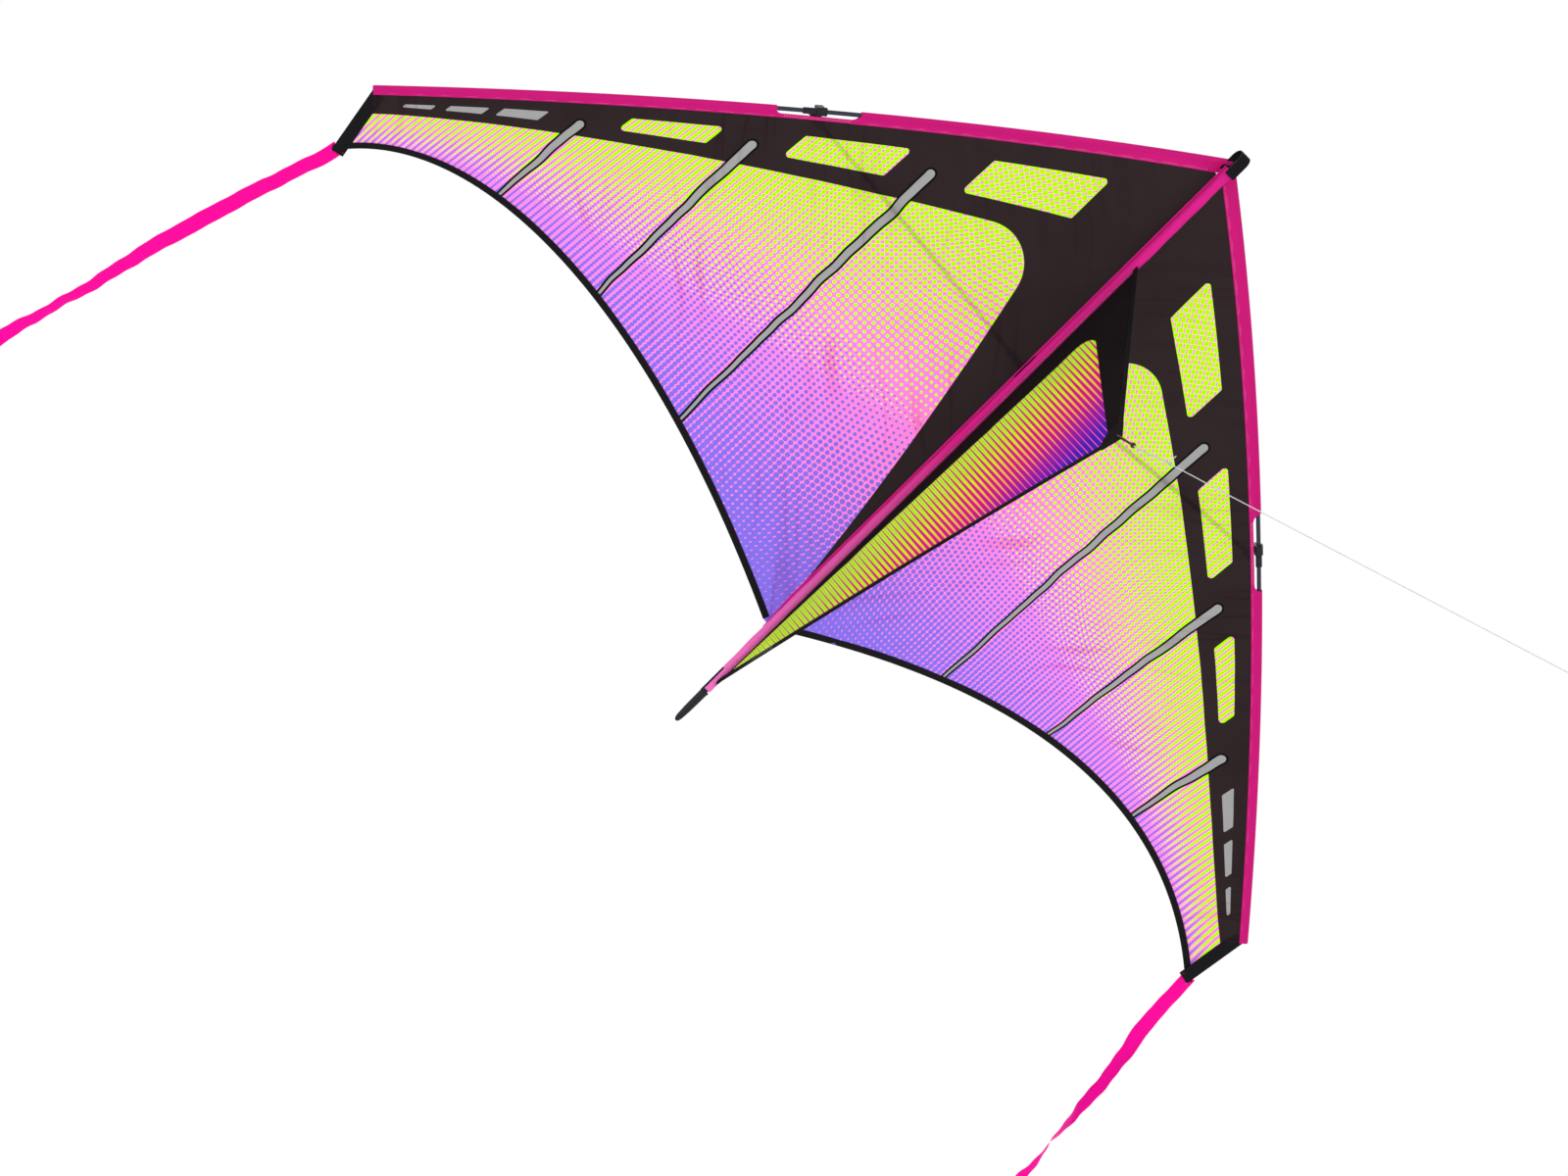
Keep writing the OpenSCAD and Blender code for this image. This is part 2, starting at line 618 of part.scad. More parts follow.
module spreader_rod() color(carbon_col)
  aim(spreader_in, spreader_dir) cylinder(d = spreader_d, h = norm(spreader_out - spreader_in));

// Cap on the outer end of the spreader, seated in the fitting's socket
module spreader_end_cap() color(black_col) difference() {
  aim(spreader_out - spreader_dir * 14, spreader_dir) cylinder(d = spreader_d + 1.4, h = 16);
  aim(spreader_out - spreader_dir * 15, spreader_dir) cylinder(d = spreader_d + 0.04, h = 15.2);
}

// Ribbon tail along a route that starts under the wingtip's rear corner
module ribbon(route) {
  points = [for (p = route) tip_corner + p];
  m = len(points);
  color(ribbon_col) sheet([for (k = [0:m - 1]) let (
      d = unit(points[min(k + 1, m - 1)] - points[max(k - 1, 0)]),
      a = unit(cross(d, [0, 0, 1])))
    [points[k] + a * tail_w / 2, points[k] - a * tail_w / 2]], tail_t);
}

module left() mirror([1, 0, 0]) children();

spine_front_rod();
spine_rear_rod();
spine_ferrule();
spine_sleeve();
spine_nose_cap();
spine_tail_cap();
nose_webbing();
centre_fitting();
keel_panel();
keel_edge_tape();
tow_patch();
tow_loop();
tow_knot();
line_leader();
leader_knot();
flying_line();
line_end_loop();
centre_tube();  // right_centre_tube
left() centre_tube();  // left_centre_tube
sail();  // right_sail
left() sail();  // left_sail
leading_edge_sleeve();  // right_leading_edge_sleeve
left() leading_edge_sleeve();  // left_leading_edge_sleeve
inner_spar();  // right_inner_spar
left() inner_spar();  // left_inner_spar
outer_spar();  // right_outer_spar
left() outer_spar();  // left_outer_spar
spar_ferrule();  // right_spar_ferrule
left() spar_ferrule();  // left_spar_ferrule
nose_end_cap();  // right_nose_end_cap
left() nose_end_cap();  // left_nose_end_cap
tip_cap();  // right_tip_cap
left() tip_cap();  // left_tip_cap
spreader_fitting();  // right_spreader_fitting
left() spreader_fitting();  // left_spreader_fitting
fitting_stop();  // right_fitting_stop
left() fitting_stop();  // left_fitting_stop
spreader_rod();  // right_spreader_rod
left() spreader_rod();  // left_spreader_rod
spreader_end_cap();  // right_spreader_end_cap
left() spreader_end_cap();  // left_spreader_end_cap
trailing_edge_binding();  // right_trailing_edge_binding
left() trailing_edge_binding();  // left_trailing_edge_binding
tip_webbing();  // right_tip_webbing
left() tip_webbing();  // left_tip_webbing
ribbon(right_tail_route);  // right_tail
left() ribbon(left_tail_route);  // left_tail
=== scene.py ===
"""Single-line delta kite in flight: cloth, cords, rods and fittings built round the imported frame."""
import math

import bpy
import numpy as np
from mathutils import Matrix, Vector


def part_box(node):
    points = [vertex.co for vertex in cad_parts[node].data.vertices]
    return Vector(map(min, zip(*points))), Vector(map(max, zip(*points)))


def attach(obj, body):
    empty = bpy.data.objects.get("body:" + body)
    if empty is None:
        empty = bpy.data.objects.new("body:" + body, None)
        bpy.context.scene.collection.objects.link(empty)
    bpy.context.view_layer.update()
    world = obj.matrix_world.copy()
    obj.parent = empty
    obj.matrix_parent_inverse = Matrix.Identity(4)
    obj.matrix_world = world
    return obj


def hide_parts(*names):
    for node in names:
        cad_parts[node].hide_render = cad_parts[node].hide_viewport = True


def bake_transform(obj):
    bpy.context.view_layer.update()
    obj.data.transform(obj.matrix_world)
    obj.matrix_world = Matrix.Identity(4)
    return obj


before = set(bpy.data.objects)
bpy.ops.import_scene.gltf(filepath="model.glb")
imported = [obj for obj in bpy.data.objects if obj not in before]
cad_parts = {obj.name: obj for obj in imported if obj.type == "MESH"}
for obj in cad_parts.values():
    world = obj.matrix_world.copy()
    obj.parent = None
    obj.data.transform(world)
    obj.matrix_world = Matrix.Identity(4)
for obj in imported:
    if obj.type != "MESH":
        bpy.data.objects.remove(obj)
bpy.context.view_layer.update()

# ---- Sizes, in metres, in the frame of the part: origin at the tow point, nose along +Y -----------

MM = 0.001
HALF_SPAN, SWEEP, EDGE_BOW, TIP_RISE = 0.760, 0.616, 0.027, 0.085
ROOT_CHORD, TIP_CHORD, TIP_LEAN, TRAIL_SLOPE = 0.722, 0.081, 0.017, 0.47
EVEN_RISE, NOSE_LIFT, SPAR_SET_BACK, ROOT_LIFT = 0.39, 0.014, 0.009, 0.007
SLEEVE_R, SLEEVE_DEPTH, SLEEVE_TIP_DEPTH, SEAM_T = 0.0037, 0.014, 0.007, 0.0012
WINDOW_START, WINDOW_END, FITTING_AT = 0.458, 0.557, 0.505
EDGE_SPAR_R, TIP_SPAR_R, SPREADER_R = 0.0025, 0.002, 0.0025
BINDING_W, TIP_BAND_W, KEEL_TAPE_W = 0.008, 0.0165, 0.007
FOLD_X = 0.0075

rod_low, rod_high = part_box("spine_front_rod")
SPINE_Z = (rod_low.z + rod_high.z) / 2
NOSE_Y = rod_high.y - 0.014
FOLD_Z = SPINE_Z + ROOT_LIFT
SLEEVE_END_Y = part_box("spine_sleeve")[0].y
SPINE_SLEEVE_R = -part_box("spine_sleeve")[0].z + SPINE_Z
KEEL_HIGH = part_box("keel_panel")[1]
WINGS = {"right": 1, "left": -1}


def unit(v):
    """Vectors along the last axis, each divided by its length."""
    return v / np.maximum(np.linalg.norm(v, axis=-1, keepdims=True), 1e-12)


# ---- Camera ----------------------------------------------------------------------------------------

CAMERA_PLACE = Vector((6.1365, 0.1503, -12.5576))
CAMERA_AXES = ((-0.64659, 0.71041, -0.27793), (0.63046, 0.70277, 0.32959), (0.42946, 0.03789, -0.90229))
CAMERA_LENS = 292.5


def add_camera():
    """A long lens below the kite, on its right, looking up at the keel."""
    data = bpy.data.cameras.new("camera")
    data.lens, data.sensor_width = CAMERA_LENS, 36
    data.clip_start, data.clip_end = 0.1, 200
    camera = bpy.data.objects.new("camera", data)
    bpy.context.scene.collection.objects.link(camera)
    camera.matrix_world = Matrix.Translation(CAMERA_PLACE) @ Matrix(CAMERA_AXES).transposed().to_4x4()
    bpy.context.scene.camera = camera


add_camera()

# ---- Node trees ------------------------------------------------------------------------------------


def srgb(red, green, blue):
    """A colour given by its 0 to 255 screen values, as linear light."""
    share = np.array([red, green, blue]) / 255
    linear = np.where(share <= 0.04045, share / 12.92, ((share + 0.055) / 1.055) ** 2.4)
    return (*linear.tolist(), 1.0)


class Value:
    """A number in a node tree; the signs and methods below add Math nodes to it."""

    def __init__(self, tree, socket):
        self.tree, self.socket = tree, socket

    def op(self, kind, *others):
        node = self.tree.nodes.new("ShaderNodeMath")
        node.operation = kind
        for slot, value in zip(node.inputs, (self, *others)):
            if isinstance(value, Value):
                self.tree.links.new(value.socket, slot)
            else:
                slot.default_value = value
        return Value(self.tree, node.outputs[0])

    def __add__(self, other):
        return self.op("ADD", other)

    def __sub__(self, other):
        return self.op("SUBTRACT", other)

    def __mul__(self, other):
        return self.op("MULTIPLY", other)

    def __truediv__(self, other):
        return self.op("DIVIDE", other)

    def under(self, start):
        """start less this number."""
        return (self * -1) + start

    def low(self, other):
        return self.op("MINIMUM", other)

    def high(self, other):
        return self.op("MAXIMUM", other)

    def clamp(self):
        return self.low(1.0).high(0.0)

    def above(self, soft):
        """1 where the number is over 0, over a soft edge."""
        return (self / soft + 0.5).clamp()

    def centred(self):
        """Distance from the nearest whole number, from 0 to 0.5."""
        return (self - (self + 0.5).op("FLOOR")).op("ABSOLUTE")


def colour_mix(tree, mask, under, over, mode="MIX"):
    """The colour under where mask is 0 and over where it is 1; each is a colour or a socket."""
    node = tree.nodes.new("ShaderNodeMix")
    node.data_type, node.blend_type = "RGBA", mode
    for slot, value in ((node.inputs[0], mask), (node.inputs[6], under), (node.inputs[7], over)):
        if isinstance(value, Value):
            tree.links.new(value.socket, slot)
        elif isinstance(value, bpy.types.NodeSocket):
            tree.links.new(value, slot)
        else:
            slot.default_value = value
    return node.outputs[2]


def coordinates(tree, uv_map=None):
    """The three numbers of a UV map, or of the Object coordinates."""
    if uv_map:
        source = tree.nodes.new("ShaderNodeUVMap")
        source.uv_map = uv_map
        socket = source.outputs["UV"]
    else:
        socket = tree.nodes.new("ShaderNodeTexCoord").outputs["Object"]
    parts = tree.nodes.new("ShaderNodeSeparateXYZ")
    tree.links.new(socket, parts.inputs[0])
    return [Value(tree, s) for s in parts.outputs]


def vector(tree, x, y, z=0.0):
    """Three numbers as one vector socket."""
    node = tree.nodes.new("ShaderNodeCombineXYZ")
    for slot, value in zip(node.inputs, (x, y, z)):
        if isinstance(value, Value):
            tree.links.new(value.socket, slot)
        else:
            slot.default_value = value
    return node.outputs[0]


def noise(tree, place, scale, detail=2.0):
    """Smooth noise from 0 to 1 at a place; scale is in repeats per unit."""
    node = tree.nodes.new("ShaderNodeTexNoise")
    node.inputs["Scale"].default_value = scale
    node.inputs["Detail"].default_value = detail
    tree.links.new(place, node.inputs["Vector"])
    return Value(tree, node.outputs[0])


def group(name, inputs, outputs, make):
    """A node group with named number inputs and outputs; make turns the inputs into the outputs."""
    tree = bpy.data.node_groups.new(name, "ShaderNodeTree")
    for label in inputs:
        tree.interface.new_socket(label, in_out="INPUT", socket_type="NodeSocketFloat")
    for label in outputs:
        tree.interface.new_socket(label, in_out="OUTPUT", socket_type="NodeSocketFloat")
    start, end = tree.nodes.new("NodeGroupInput"), tree.nodes.new("NodeGroupOutput")
    made = make(tree, *[Value(tree, start.outputs[label]) for label in inputs])
    for label, value in zip(outputs, made):
        tree.links.new(value.socket, end.inputs[label])
    return tree


def use(tree, made, *values):
    """A node group placed in a tree with these inputs; its outputs as numbers."""
    node = tree.nodes.new("ShaderNodeGroup")
    node.node_tree = made
    for slot, value in zip(node.inputs, values):
        if isinstance(value, Value):
            tree.links.new(value.socket, slot)
        else:
            slot.default_value = value
    return [Value(tree, s) for s in node.outputs]


def halftone_nodes(tree, x, y, pitch, centre_row, shrink, stagger, share):
    """Round dots, each a share of its cell; rows close up outward and every other column is staggered."""
    column = (x / pitch + 0.5).op("FLOOR")
    across = x - column * pitch
    row = (centre_row - column * pitch * shrink).high(1.6)
    cell = y / row + column.op("MODULO", 2.0).op("ABSOLUTE") * stagger
    along = (cell - (cell + 0.5).op("FLOOR")) * row
    far = (across * across + along * along).op("SQRT")
    radius = (share.high(0.0) * pitch * row / math.pi).op("SQRT")
    return [(radius - far).above(0.35)]


def ripstop_nodes(tree, x, y):
    """Plain weave with a thicker thread every few millimetres each way: its shade and its height."""
    thread = (((x / 5.0).centred() * 5.0).under(0.22)).above(0.2).high(
        (((y / 5.0).centred() * 5.0).under(0.22)).above(0.2))
    weave = ((x * 7.0).op("SINE") * (y * 7.0).op("SINE"))
    shade = thread * 0.05 + weave * 0.02 + 0.97
    return [shade, thread * 0.6 + weave * 0.15]


def webbing_nodes(tree, across, along):
    """Narrow woven tape: ribs across it, each broken by the yarns along it: its shade and its height."""
    rib = (along * 5.2).op("SINE")
    yarn = (across * 6.3 + (along * 2.6).op("SINE")).op("SINE")
    height = rib * 0.5 + yarn * 0.3
    return [height * 0.12 + 0.95, height]


def braid_nodes(tree, around, along, turn):
    """Braided cord: two sets of strands that cross as they wind: its shade and its height."""
    one = (around * 4.0 + along * turn).op("SINE")
    two = (around * 4.0 - along * turn).op("SINE")
    height = one.high(two)
    return [height * 0.14 + 0.86, height]


def rounded_nodes(tree, one, two, radius, lean):
    """How far inside two edges a point is, the corner rounded; lean is the cosine between their normals."""
    a, b = one - radius, two - radius
    span = (a * a + b * b - a * b * lean * 2.0) / (lean * lean).under(1.0)
    corner = span.op("SQRT").under(0.0) + radius
    zone = (a - b * lean).high(b - a * lean).under(0.0).above(0.01)
    flat = one.low(two)
    return [flat + (corner - flat) * zone]


def painted_crease_nodes(tree, x, y):
    """Painted shade of soft creases: narrow ridges of stretched noise, strong only in patches: the painted
    shade that darkens the cloth along them and the painted darker magenta tint there.
    """
    bent = noise(tree, vector(tree, x / 170.0, y / 170.0, 7.0), 1.0, 1.0) * 46.0
    place = vector(tree, (x * 0.67 - y * 0.74 + bent) / 34.0, (x * 0.74 + y * 0.67) / 420.0)
    ridge = ((noise(tree, place, 1.0, 1.0) - 0.5).op("ABSOLUTE") / 0.05).under(1.0).clamp()
    patch = ((noise(tree, vector(tree, x / 130.0, y / 130.0, 3.0), 1.0, 1.0) - 0.46) * 5.0).clamp()
    strength = ridge * ridge * patch
    return [(strength * 0.10).under(1.0), strength]


HALFTONE = group("halftone_dots", ("X", "Y", "Pitch", "Row", "Shrink", "Stagger", "Share"), ("Mask",),
                 halftone_nodes)
RIPSTOP = group("ripstop_weave", ("X", "Y"), ("Shade", "Height"), ripstop_nodes)
WEBBING = group("webbing_weave", ("Across", "Along"), ("Shade", "Height"), webbing_nodes)
BRAID = group("cord_braid", ("Around", "Along", "Turn"), ("Shade", "Height"), braid_nodes)
# Painted crease shade: darkening and a darker magenta tint along soft creases, put into the colour.
PAINTED_CREASES = group("painted_crease_shade", ("X", "Y"), ("Shade", "Tint"), painted_crease_nodes)
ROUNDED = group("rounded_corner", ("One", "Two", "Radius", "Lean"), ("Inside",), rounded_nodes)


def finish_of(name, roughness, **sockets):
    """A new material: its node tree and its Principled BSDF with these sockets set."""
    made = bpy.data.materials.new(name)
    made.use_nodes = True
    tree = made.node_tree
    shader = tree.nodes["Principled BSDF"]
    shader.inputs["Roughness"].default_value = roughness
    for label, value in sockets.items():
        shader.inputs[label.replace("_", " ")].default_value = value
    return made, tree, shader


def paint(tree, shader, colour, shade=None, height=None, depth=1.0, distance=0.0002):
    """Links a colour, darkened by shade, and a bump of this height to a shader."""
    if shade is not None:
        tone = tree.nodes.new("ShaderNodeCombineColor")
        for slot in tone.inputs[:3]:
            tree.links.new(shade.socket, slot)
        colour = colour_mix(tree, 1.0, colour, tone.outputs[0], "MULTIPLY")
    if isinstance(colour, bpy.types.NodeSocket):
        tree.links.new(colour, shader.inputs["Base Color"])
    else:
        shader.inputs["Base Color"].default_value = colour
    if height is not None:
        bump = tree.nodes.new("ShaderNodeBump")
        bump.inputs["Strength"].default_value = depth
        bump.inputs["Distance"].default_value = distance
        tree.links.new(height.socket, bump.inputs["Height"])
        tree.links.new(bump.outputs[0], shader.inputs["Normal"])
    return colour


def let_light_through(tree, shader, colour, share):
    """Mixes in a Translucent BSDF of the same colour, as thin cloth lit from behind has."""
    glow = tree.nodes.new("ShaderNodeBsdfTranslucent")
    if isinstance(colour, bpy.types.NodeSocket):
        tree.links.new(colour, glow.inputs[0])
    else:
        glow.inputs[0].default_value = colour
    mix = tree.nodes.new("ShaderNodeMixShader")
    mix.inputs[0].default_value = share
    tree.links.new(shader.outputs[0], mix.inputs[1])
    tree.links.new(glow.outputs[0], mix.inputs[2])
    tree.links.new(mix.outputs[0], tree.nodes["Material Output"].inputs["Surface"])


# ---- Printed cloth ---------------------------------------------------------------------------------
# The print is laid out in millimetres on the flat sail: x outward from the spine, y forward from the nose,
# e back from the leading edge.

LIME, PINK, PURPLE = srgb(172, 255, 0), srgb(255, 130, 214), srgb(124, 106, 222)
BATTEN_GREY, OUTLINE = srgb(150, 150, 150), srgb(14, 12, 14)
DOT_PITCH, ROW_PITCH, ROW_SHRINK = 7.2, 8.5, 6.5
WINDOWS = ((87, 200), (276, 374), (445, 527))
DASHES = ((598, 636), (648, 681), (693, 719))
STRIPE_PITCH = 6.4
BATTENS = ((240, 81, 229), (408, 66, 392), (561, 55, 552))
HEAD_HALF_W, END_HALF_W, BATTEN_LINE = 5.2, 1.4, 2.6
SPAN_MM = HALF_SPAN / MM


def edge_y_mm(x):
    """Forward place of the leading edge's outer side over the span: a slope and a shallow bow."""
    t = x / SPAN_MM
    return 14 - 0.8105 * x + 108 * t * (1 - t)


def box_mask(tree, x, e, front, rear, x_range, radius):
    """A printed patch between two lines behind the leading edge, its corners rounded."""
    ahead, behind = (e - front) * 0.78, (rear - e) * 0.78
    inner, outer = x - x_range[0], x.under(x_range[1])
    inside = use(tree, ROUNDED, ahead, inner, radius, -0.62)[0]
    for one, two, lean in ((ahead, outer, 0.62), (behind, inner, 0.62), (behind, outer, -0.62)):
        inside = inside.low(use(tree, ROUNDED, one, two, radius, lean)[0])
    return inside.above(0.4)


def sail_finish():
    """Ripstop printed with dots that turn from lime through pink to purple, on black, with grey battens."""
    made, tree, shader = finish_of("printed_sail", 0.7, Specular_IOR_Level=0.03)
    x, y = [v / MM for v in coordinates(tree, "print")[:2]]
    e, e_end = [v / MM for v in coordinates(tree, "chord")[:2]]
    share = x / SPAN_MM
    band = (x * 0.155).under(160.0)
    ahead = (y + ROOT_CHORD / MM).high(0.0)
    wedge = ahead * 0.085 + ahead * ahead * 0.00016
    inside = use(tree, ROUNDED, (e - band) * 0.88, (x - wedge) * 0.97, 52.0, -0.26)[0].above(0.6)
    down = (e - band) / (e_end - band).high(8.0)

    rows = (DOT_PITCH, ROW_PITCH, ROW_SHRINK / SPAN_MM)
    lime_end = share * 0.42 + 0.52
    lime_share = (down.high(0.0) / lime_end).op("POWER", 1.25).under(1.0) * 0.72
    lime = use(tree, HALFTONE, x, y, *rows, 0.5, lime_share)[0] * (lime_end - down - 0.02).above(0.02)
    purple_start = (share * 0.30).under(0.50)
    most = share.under(1.0) * share.under(1.0) * 0.86 + 0.44
    purple_share = ((down - purple_start) / purple_start.under(1.0)).high(0.0) * most
    half_on = x + DOT_PITCH / 2
    purple = use(tree, HALFTONE, half_on, y + 2.0, DOT_PITCH, ROW_PITCH - 0.9, ROW_SHRINK / SPAN_MM, 0.0,
                 purple_share)[0]
    purple = purple * (down - purple_start - 0.02).above(0.02)
    ink = colour_mix(tree, purple, PINK, PURPLE)
    ink = colour_mix(tree, lime, ink, LIME)

    front, rear = (x * 0.035).under(57.0), (x * 0.128).under(127.0)
    panes = inside
    for window in WINDOWS:
        panes = panes.high(box_mask(tree, x, e, front, rear, window, 4.0))
    plain = noise(tree, vector(tree, x / 90.0, y / 90.0), 1.0, 4.0)
    black = colour_mix(tree, plain, srgb(38, 29, 31), srgb(47, 38, 40))
    colour = colour_mix(tree, panes, black, ink)
    dashes = None
    for dash in DASHES:
        mask = box_mask(tree, x, e, front - 0.9, rear + 0.9, dash, 1.2)
        dashes = mask if dashes is None else dashes.high(mask)
    colour = colour_mix(tree, dashes, colour, BATTEN_GREY)
    for head_x, head_e, end_x in BATTENS:
        start = np.array([head_x, edge_y_mm(head_x) - head_e])
        way = np.array([end_x, trail_y_mm(end_x)]) - start
        length = float(np.linalg.norm(way))
        way = way / length
        dx, dy = x - float(start[0]), y - float(start[1])
        along = dx * float(way[0]) + dy * float(way[1])
        wave = (noise(tree, vector(tree, along / 46.0, head_x), 1.0, 1.0) - 0.5) * 7.0
        across = dx * float(-way[1]) + dy * float(way[0]) + wave
        before = along.low(0.0)
        far = (across * across + before * before).op("SQRT")
        half = (along.high(0.0) / length) * (END_HALF_W - HEAD_HALF_W) + HEAD_HALF_W
        colour = colour_mix(tree, (half + BATTEN_LINE - far).above(0.5), colour, OUTLINE)
        colour = colour_mix(tree, (half - far).above(0.5), colour, BATTEN_GREY)
    shade, height = use(tree, RIPSTOP, x, y)
    crinkle = noise(tree, vector(tree, x / 14.0, y / 14.0), 1.0, 3.0)
    # Painted shade along soft creases: the cloth colour is darkened there and tinted darker magenta.
    crease_shading, painted_crease_tint = use(tree, PAINTED_CREASES, x, y)
    colour = colour_mix(tree, painted_crease_tint * 0.30, colour, srgb(240, 120, 190), "MULTIPLY")
    shade = shade * (crinkle * 0.10 + 0.95) * crease_shading
    colour = paint(tree, shader, colour, shade, height + crinkle * 2.5, 0.35, 0.0004)
    let_light_through(tree, shader, colour, 0.34)
    return made


def keel_finish():
    """Black ripstop with a printed panel whose fine stripes stand square to the spine."""
    made, tree, shader = finish_of("printed_keel", 0.7, Specular_IOR_Level=0.03)
    y, z = [v / MM for v in coordinates(tree, "print")[:2]]
    e, down = coordinates(tree, "chord")[:2]
    e = e / MM
    front = e - (z + 252.0) * 0.165 - 10.0
    top = (y * 0.07 + z).under(-67.0)
    inside = use(tree, ROUNDED, front, top, 18.0, -0.4)[0].above(0.6)
    inside = inside * (down.under(0.985) * 100.0).above(1.0)
    low = ((z + 20.0) * -1.0) / 250.0
    line = (y / STRIPE_PITCH).centred() * 2.0
    between = ((y / STRIPE_PITCH + 0.5).centred()) * 2.0
    dash = (z / 4.4).centred() * 0.5
    warm = colour_mix(tree, (low * 3.2 - 0.5).clamp(), srgb(172, 252, 0), srgb(228, 226, 0))
    warm = colour_mix(tree, (low * 2.6 - 0.9).clamp(), warm, srgb(255, 130, 110))
    warm = colour_mix(tree, (low * 3.2 - 2.1).clamp(), warm, srgb(120, 50, 215))
    dark = colour_mix(tree, (low * 3.0 - 1.6).clamp(), srgb(214, 22, 132), srgb(70, 34, 180))
    wide = low.high(0.0) * 0.9 + 0.17
    thin = (low.under(0.42) * 0.5 - between - dash * 0.4).above(0.10) * (low.under(0.45) * 4.0).clamp() * 0.7
    bold = (wide - line + (dash.under(0.10)) * (low * 2.5).clamp().under(1.0) * 0.8).above(0.10)
    ink = colour_mix(tree, bold.high(thin), warm, dark)
    pale_line = (line.under(1.0) * 0.5).under(0.10).above(0.05) * ((low - 0.62) * 5.0).clamp()
    ink = colour_mix(tree, pale_line, ink, srgb(236, 84, 190))
    plain = noise(tree, vector(tree, y / 90.0, z / 90.0), 1.0, 4.0)
    black = colour_mix(tree, plain, srgb(22, 17, 20), srgb(30, 24, 27))
    colour = colour_mix(tree, inside, black, ink)
    shade, height = use(tree, RIPSTOP, y, z)
    crinkle = noise(tree, vector(tree, y / 16.0, z / 16.0), 1.0, 3.0)
    shade = shade * (crinkle * 0.10 + 0.95)
    colour = paint(tree, shader, colour, shade, height + crinkle * 2.5, 0.35, 0.0004)
    let_light_through(tree, shader, colour, 0.3)
    return made


def plain_cloth_finish(name, near, far, fade, through, weave=1.0):
    """Woven nylon that fades from one colour to another along its length, with light coming through."""
    made, tree, shader = finish_of(name, 0.6, Specular_IOR_Level=0.08)
    across, along = [v / MM for v in coordinates(tree, "weave")[:2]]
    patch = noise(tree, vector(tree, across / 9.0, along / 60.0), 1.0, 3.0)
    colour = colour_mix(tree, ((along - fade[0]) / (fade[1] - fade[0])).clamp(), near, far)
    grain = ((across * 5.0).op("SINE") * (along * 5.0).op("SINE")) * 0.04
    shade = patch * 0.22 + grain * weave + 0.87
    colour = paint(tree, shader, colour, shade, grain * 4.0 + patch * 1.6, 0.4, 0.0004)
    let_light_through(tree, shader, colour, through)
    return made


def webbing_finish(name, colour, roughness=0.7):
    """Narrow woven nylon tape."""
    made, tree, shader = finish_of(name, roughness, Specular_IOR_Level=0.12)
    across, along = [v / MM for v in coordinates(tree, "weave")[:2]]
    shade, height = use(tree, WEBBING, across, along)
    worn = noise(tree, vector(tree, across / 5.0, along / 18.0), 1.0, 3.0)
    paint(tree, shader, colour, shade * (worn * 0.5 + 0.75), height, 0.7, 0.00025)
    return made


def cord_finish(name, colour, turn):
    """Braided polyester."""
    made, tree, shader = finish_of(name, 0.6, Sheen_Weight=0.3)
    around, along = coordinates(tree, "weave")[:2]
    shade, height = use(tree, BRAID, around, along / MM, turn)
    soil = noise(tree, vector(tree, around, along / MM / 12.0), 1.0, 2.0)
    colour = paint(tree, shader, colour, shade * (soil * 0.2 + 0.88), height, 0.6, 0.0002)
    let_light_through(tree, shader, colour, 0.45)
    return made


def rod_finish():
    """Pultruded carbon rod: near black with a painted blue sheen in lighter streaks, and fine lines along
    it.
    """
    made, tree, shader = finish_of("carbon_rod", 0.34, Specular_IOR_Level=0.35)
    around, along = coordinates(tree, "weave")[:2]
    streak_and_sheen = noise(tree, vector(tree, around * 9.0, along / MM / 45.0), 1.0, 3.0)
    # Painted sheen: random lighter blue streaks in the colour stand in for the rod's sheen; the same noise
    # also gives the bump of fibre streaks.
    colour = colour_mix(tree, streak_and_sheen, srgb(12, 16, 28), srgb(34, 44, 66))
    wrap = ((along / MM / 3.1 + around / math.tau).centred())
    paint(tree, shader, colour, None, streak_and_sheen * 0.6 + wrap * 0.4, 0.3, 0.00015)
    return made


def moulded_finish(name, low, high, roughness, grain):
    """Moulded or dipped plastic with a fine texture and slightly worn high spots."""
    made, tree, shader = finish_of(name, roughness, Specular_IOR_Level=0.25)
    place = vector(tree, *coordinates(tree))
    speck = noise(tree, place, grain, 3.0)
    smudge = noise(tree, place, 140.0, 2.0)
    paint(tree, shader, colour_mix(tree, smudge, low, high), None, speck, 0.25, 0.00012)
    tone = speck * 0.14 + smudge * 0.12 + (roughness - 0.13)
    tree.links.new(tone.socket, shader.inputs["Roughness"])
    return made


def metal_finish():
    """Drawn aluminium tube with fine lines round it."""
    made, tree, shader = finish_of("drawn_aluminium", 0.3, Metallic=1.0)
    ring = noise(tree, vector(tree, *coordinates(tree)), 900.0, 3.0)
    paint(tree, shader, colour_mix(tree, ring, srgb(168, 171, 176), srgb(214, 216, 220)), None, ring, 0.3,
          0.00008)
    tone = ring * 0.2 + 0.2
    tree.links.new(tone.socket, shader.inputs["Roughness"])
    return made


# ---- Curves of the kite ----------------------------------------------------------------------------


def edge(u):
    """Centre line of the leading-edge spar: a parabola in plan and a quadratic rise, u from nose to tip."""
    u = np.asarray(u, float)
    return np.stack([
        HALF_SPAN * u,
        NOSE_Y + SPAR_SET_BACK - SWEEP * u + 4 * EDGE_BOW * u * (1 - u),
        SPINE_Z + NOSE_LIFT + TIP_RISE * (EVEN_RISE * u + (1 - EVEN_RISE) * u * u)], -1)


def edge_frame(u):
    """Unit vectors along the spar, square to it back into the sail, and up."""
    u = np.asarray(u, float)
    along = unit(np.stack([
        np.full_like(u, HALF_SPAN), -SWEEP + 4 * EDGE_BOW * (1 - 2 * u),
        TIP_RISE * (EVEN_RISE + 2 * (1 - EVEN_RISE) * u)], -1))
    rear = np.array([0.0, -1.0, 0.0])
    back = unit(rear - along * (along @ rear)[..., None])
    return along, back, -np.cross(along, back)


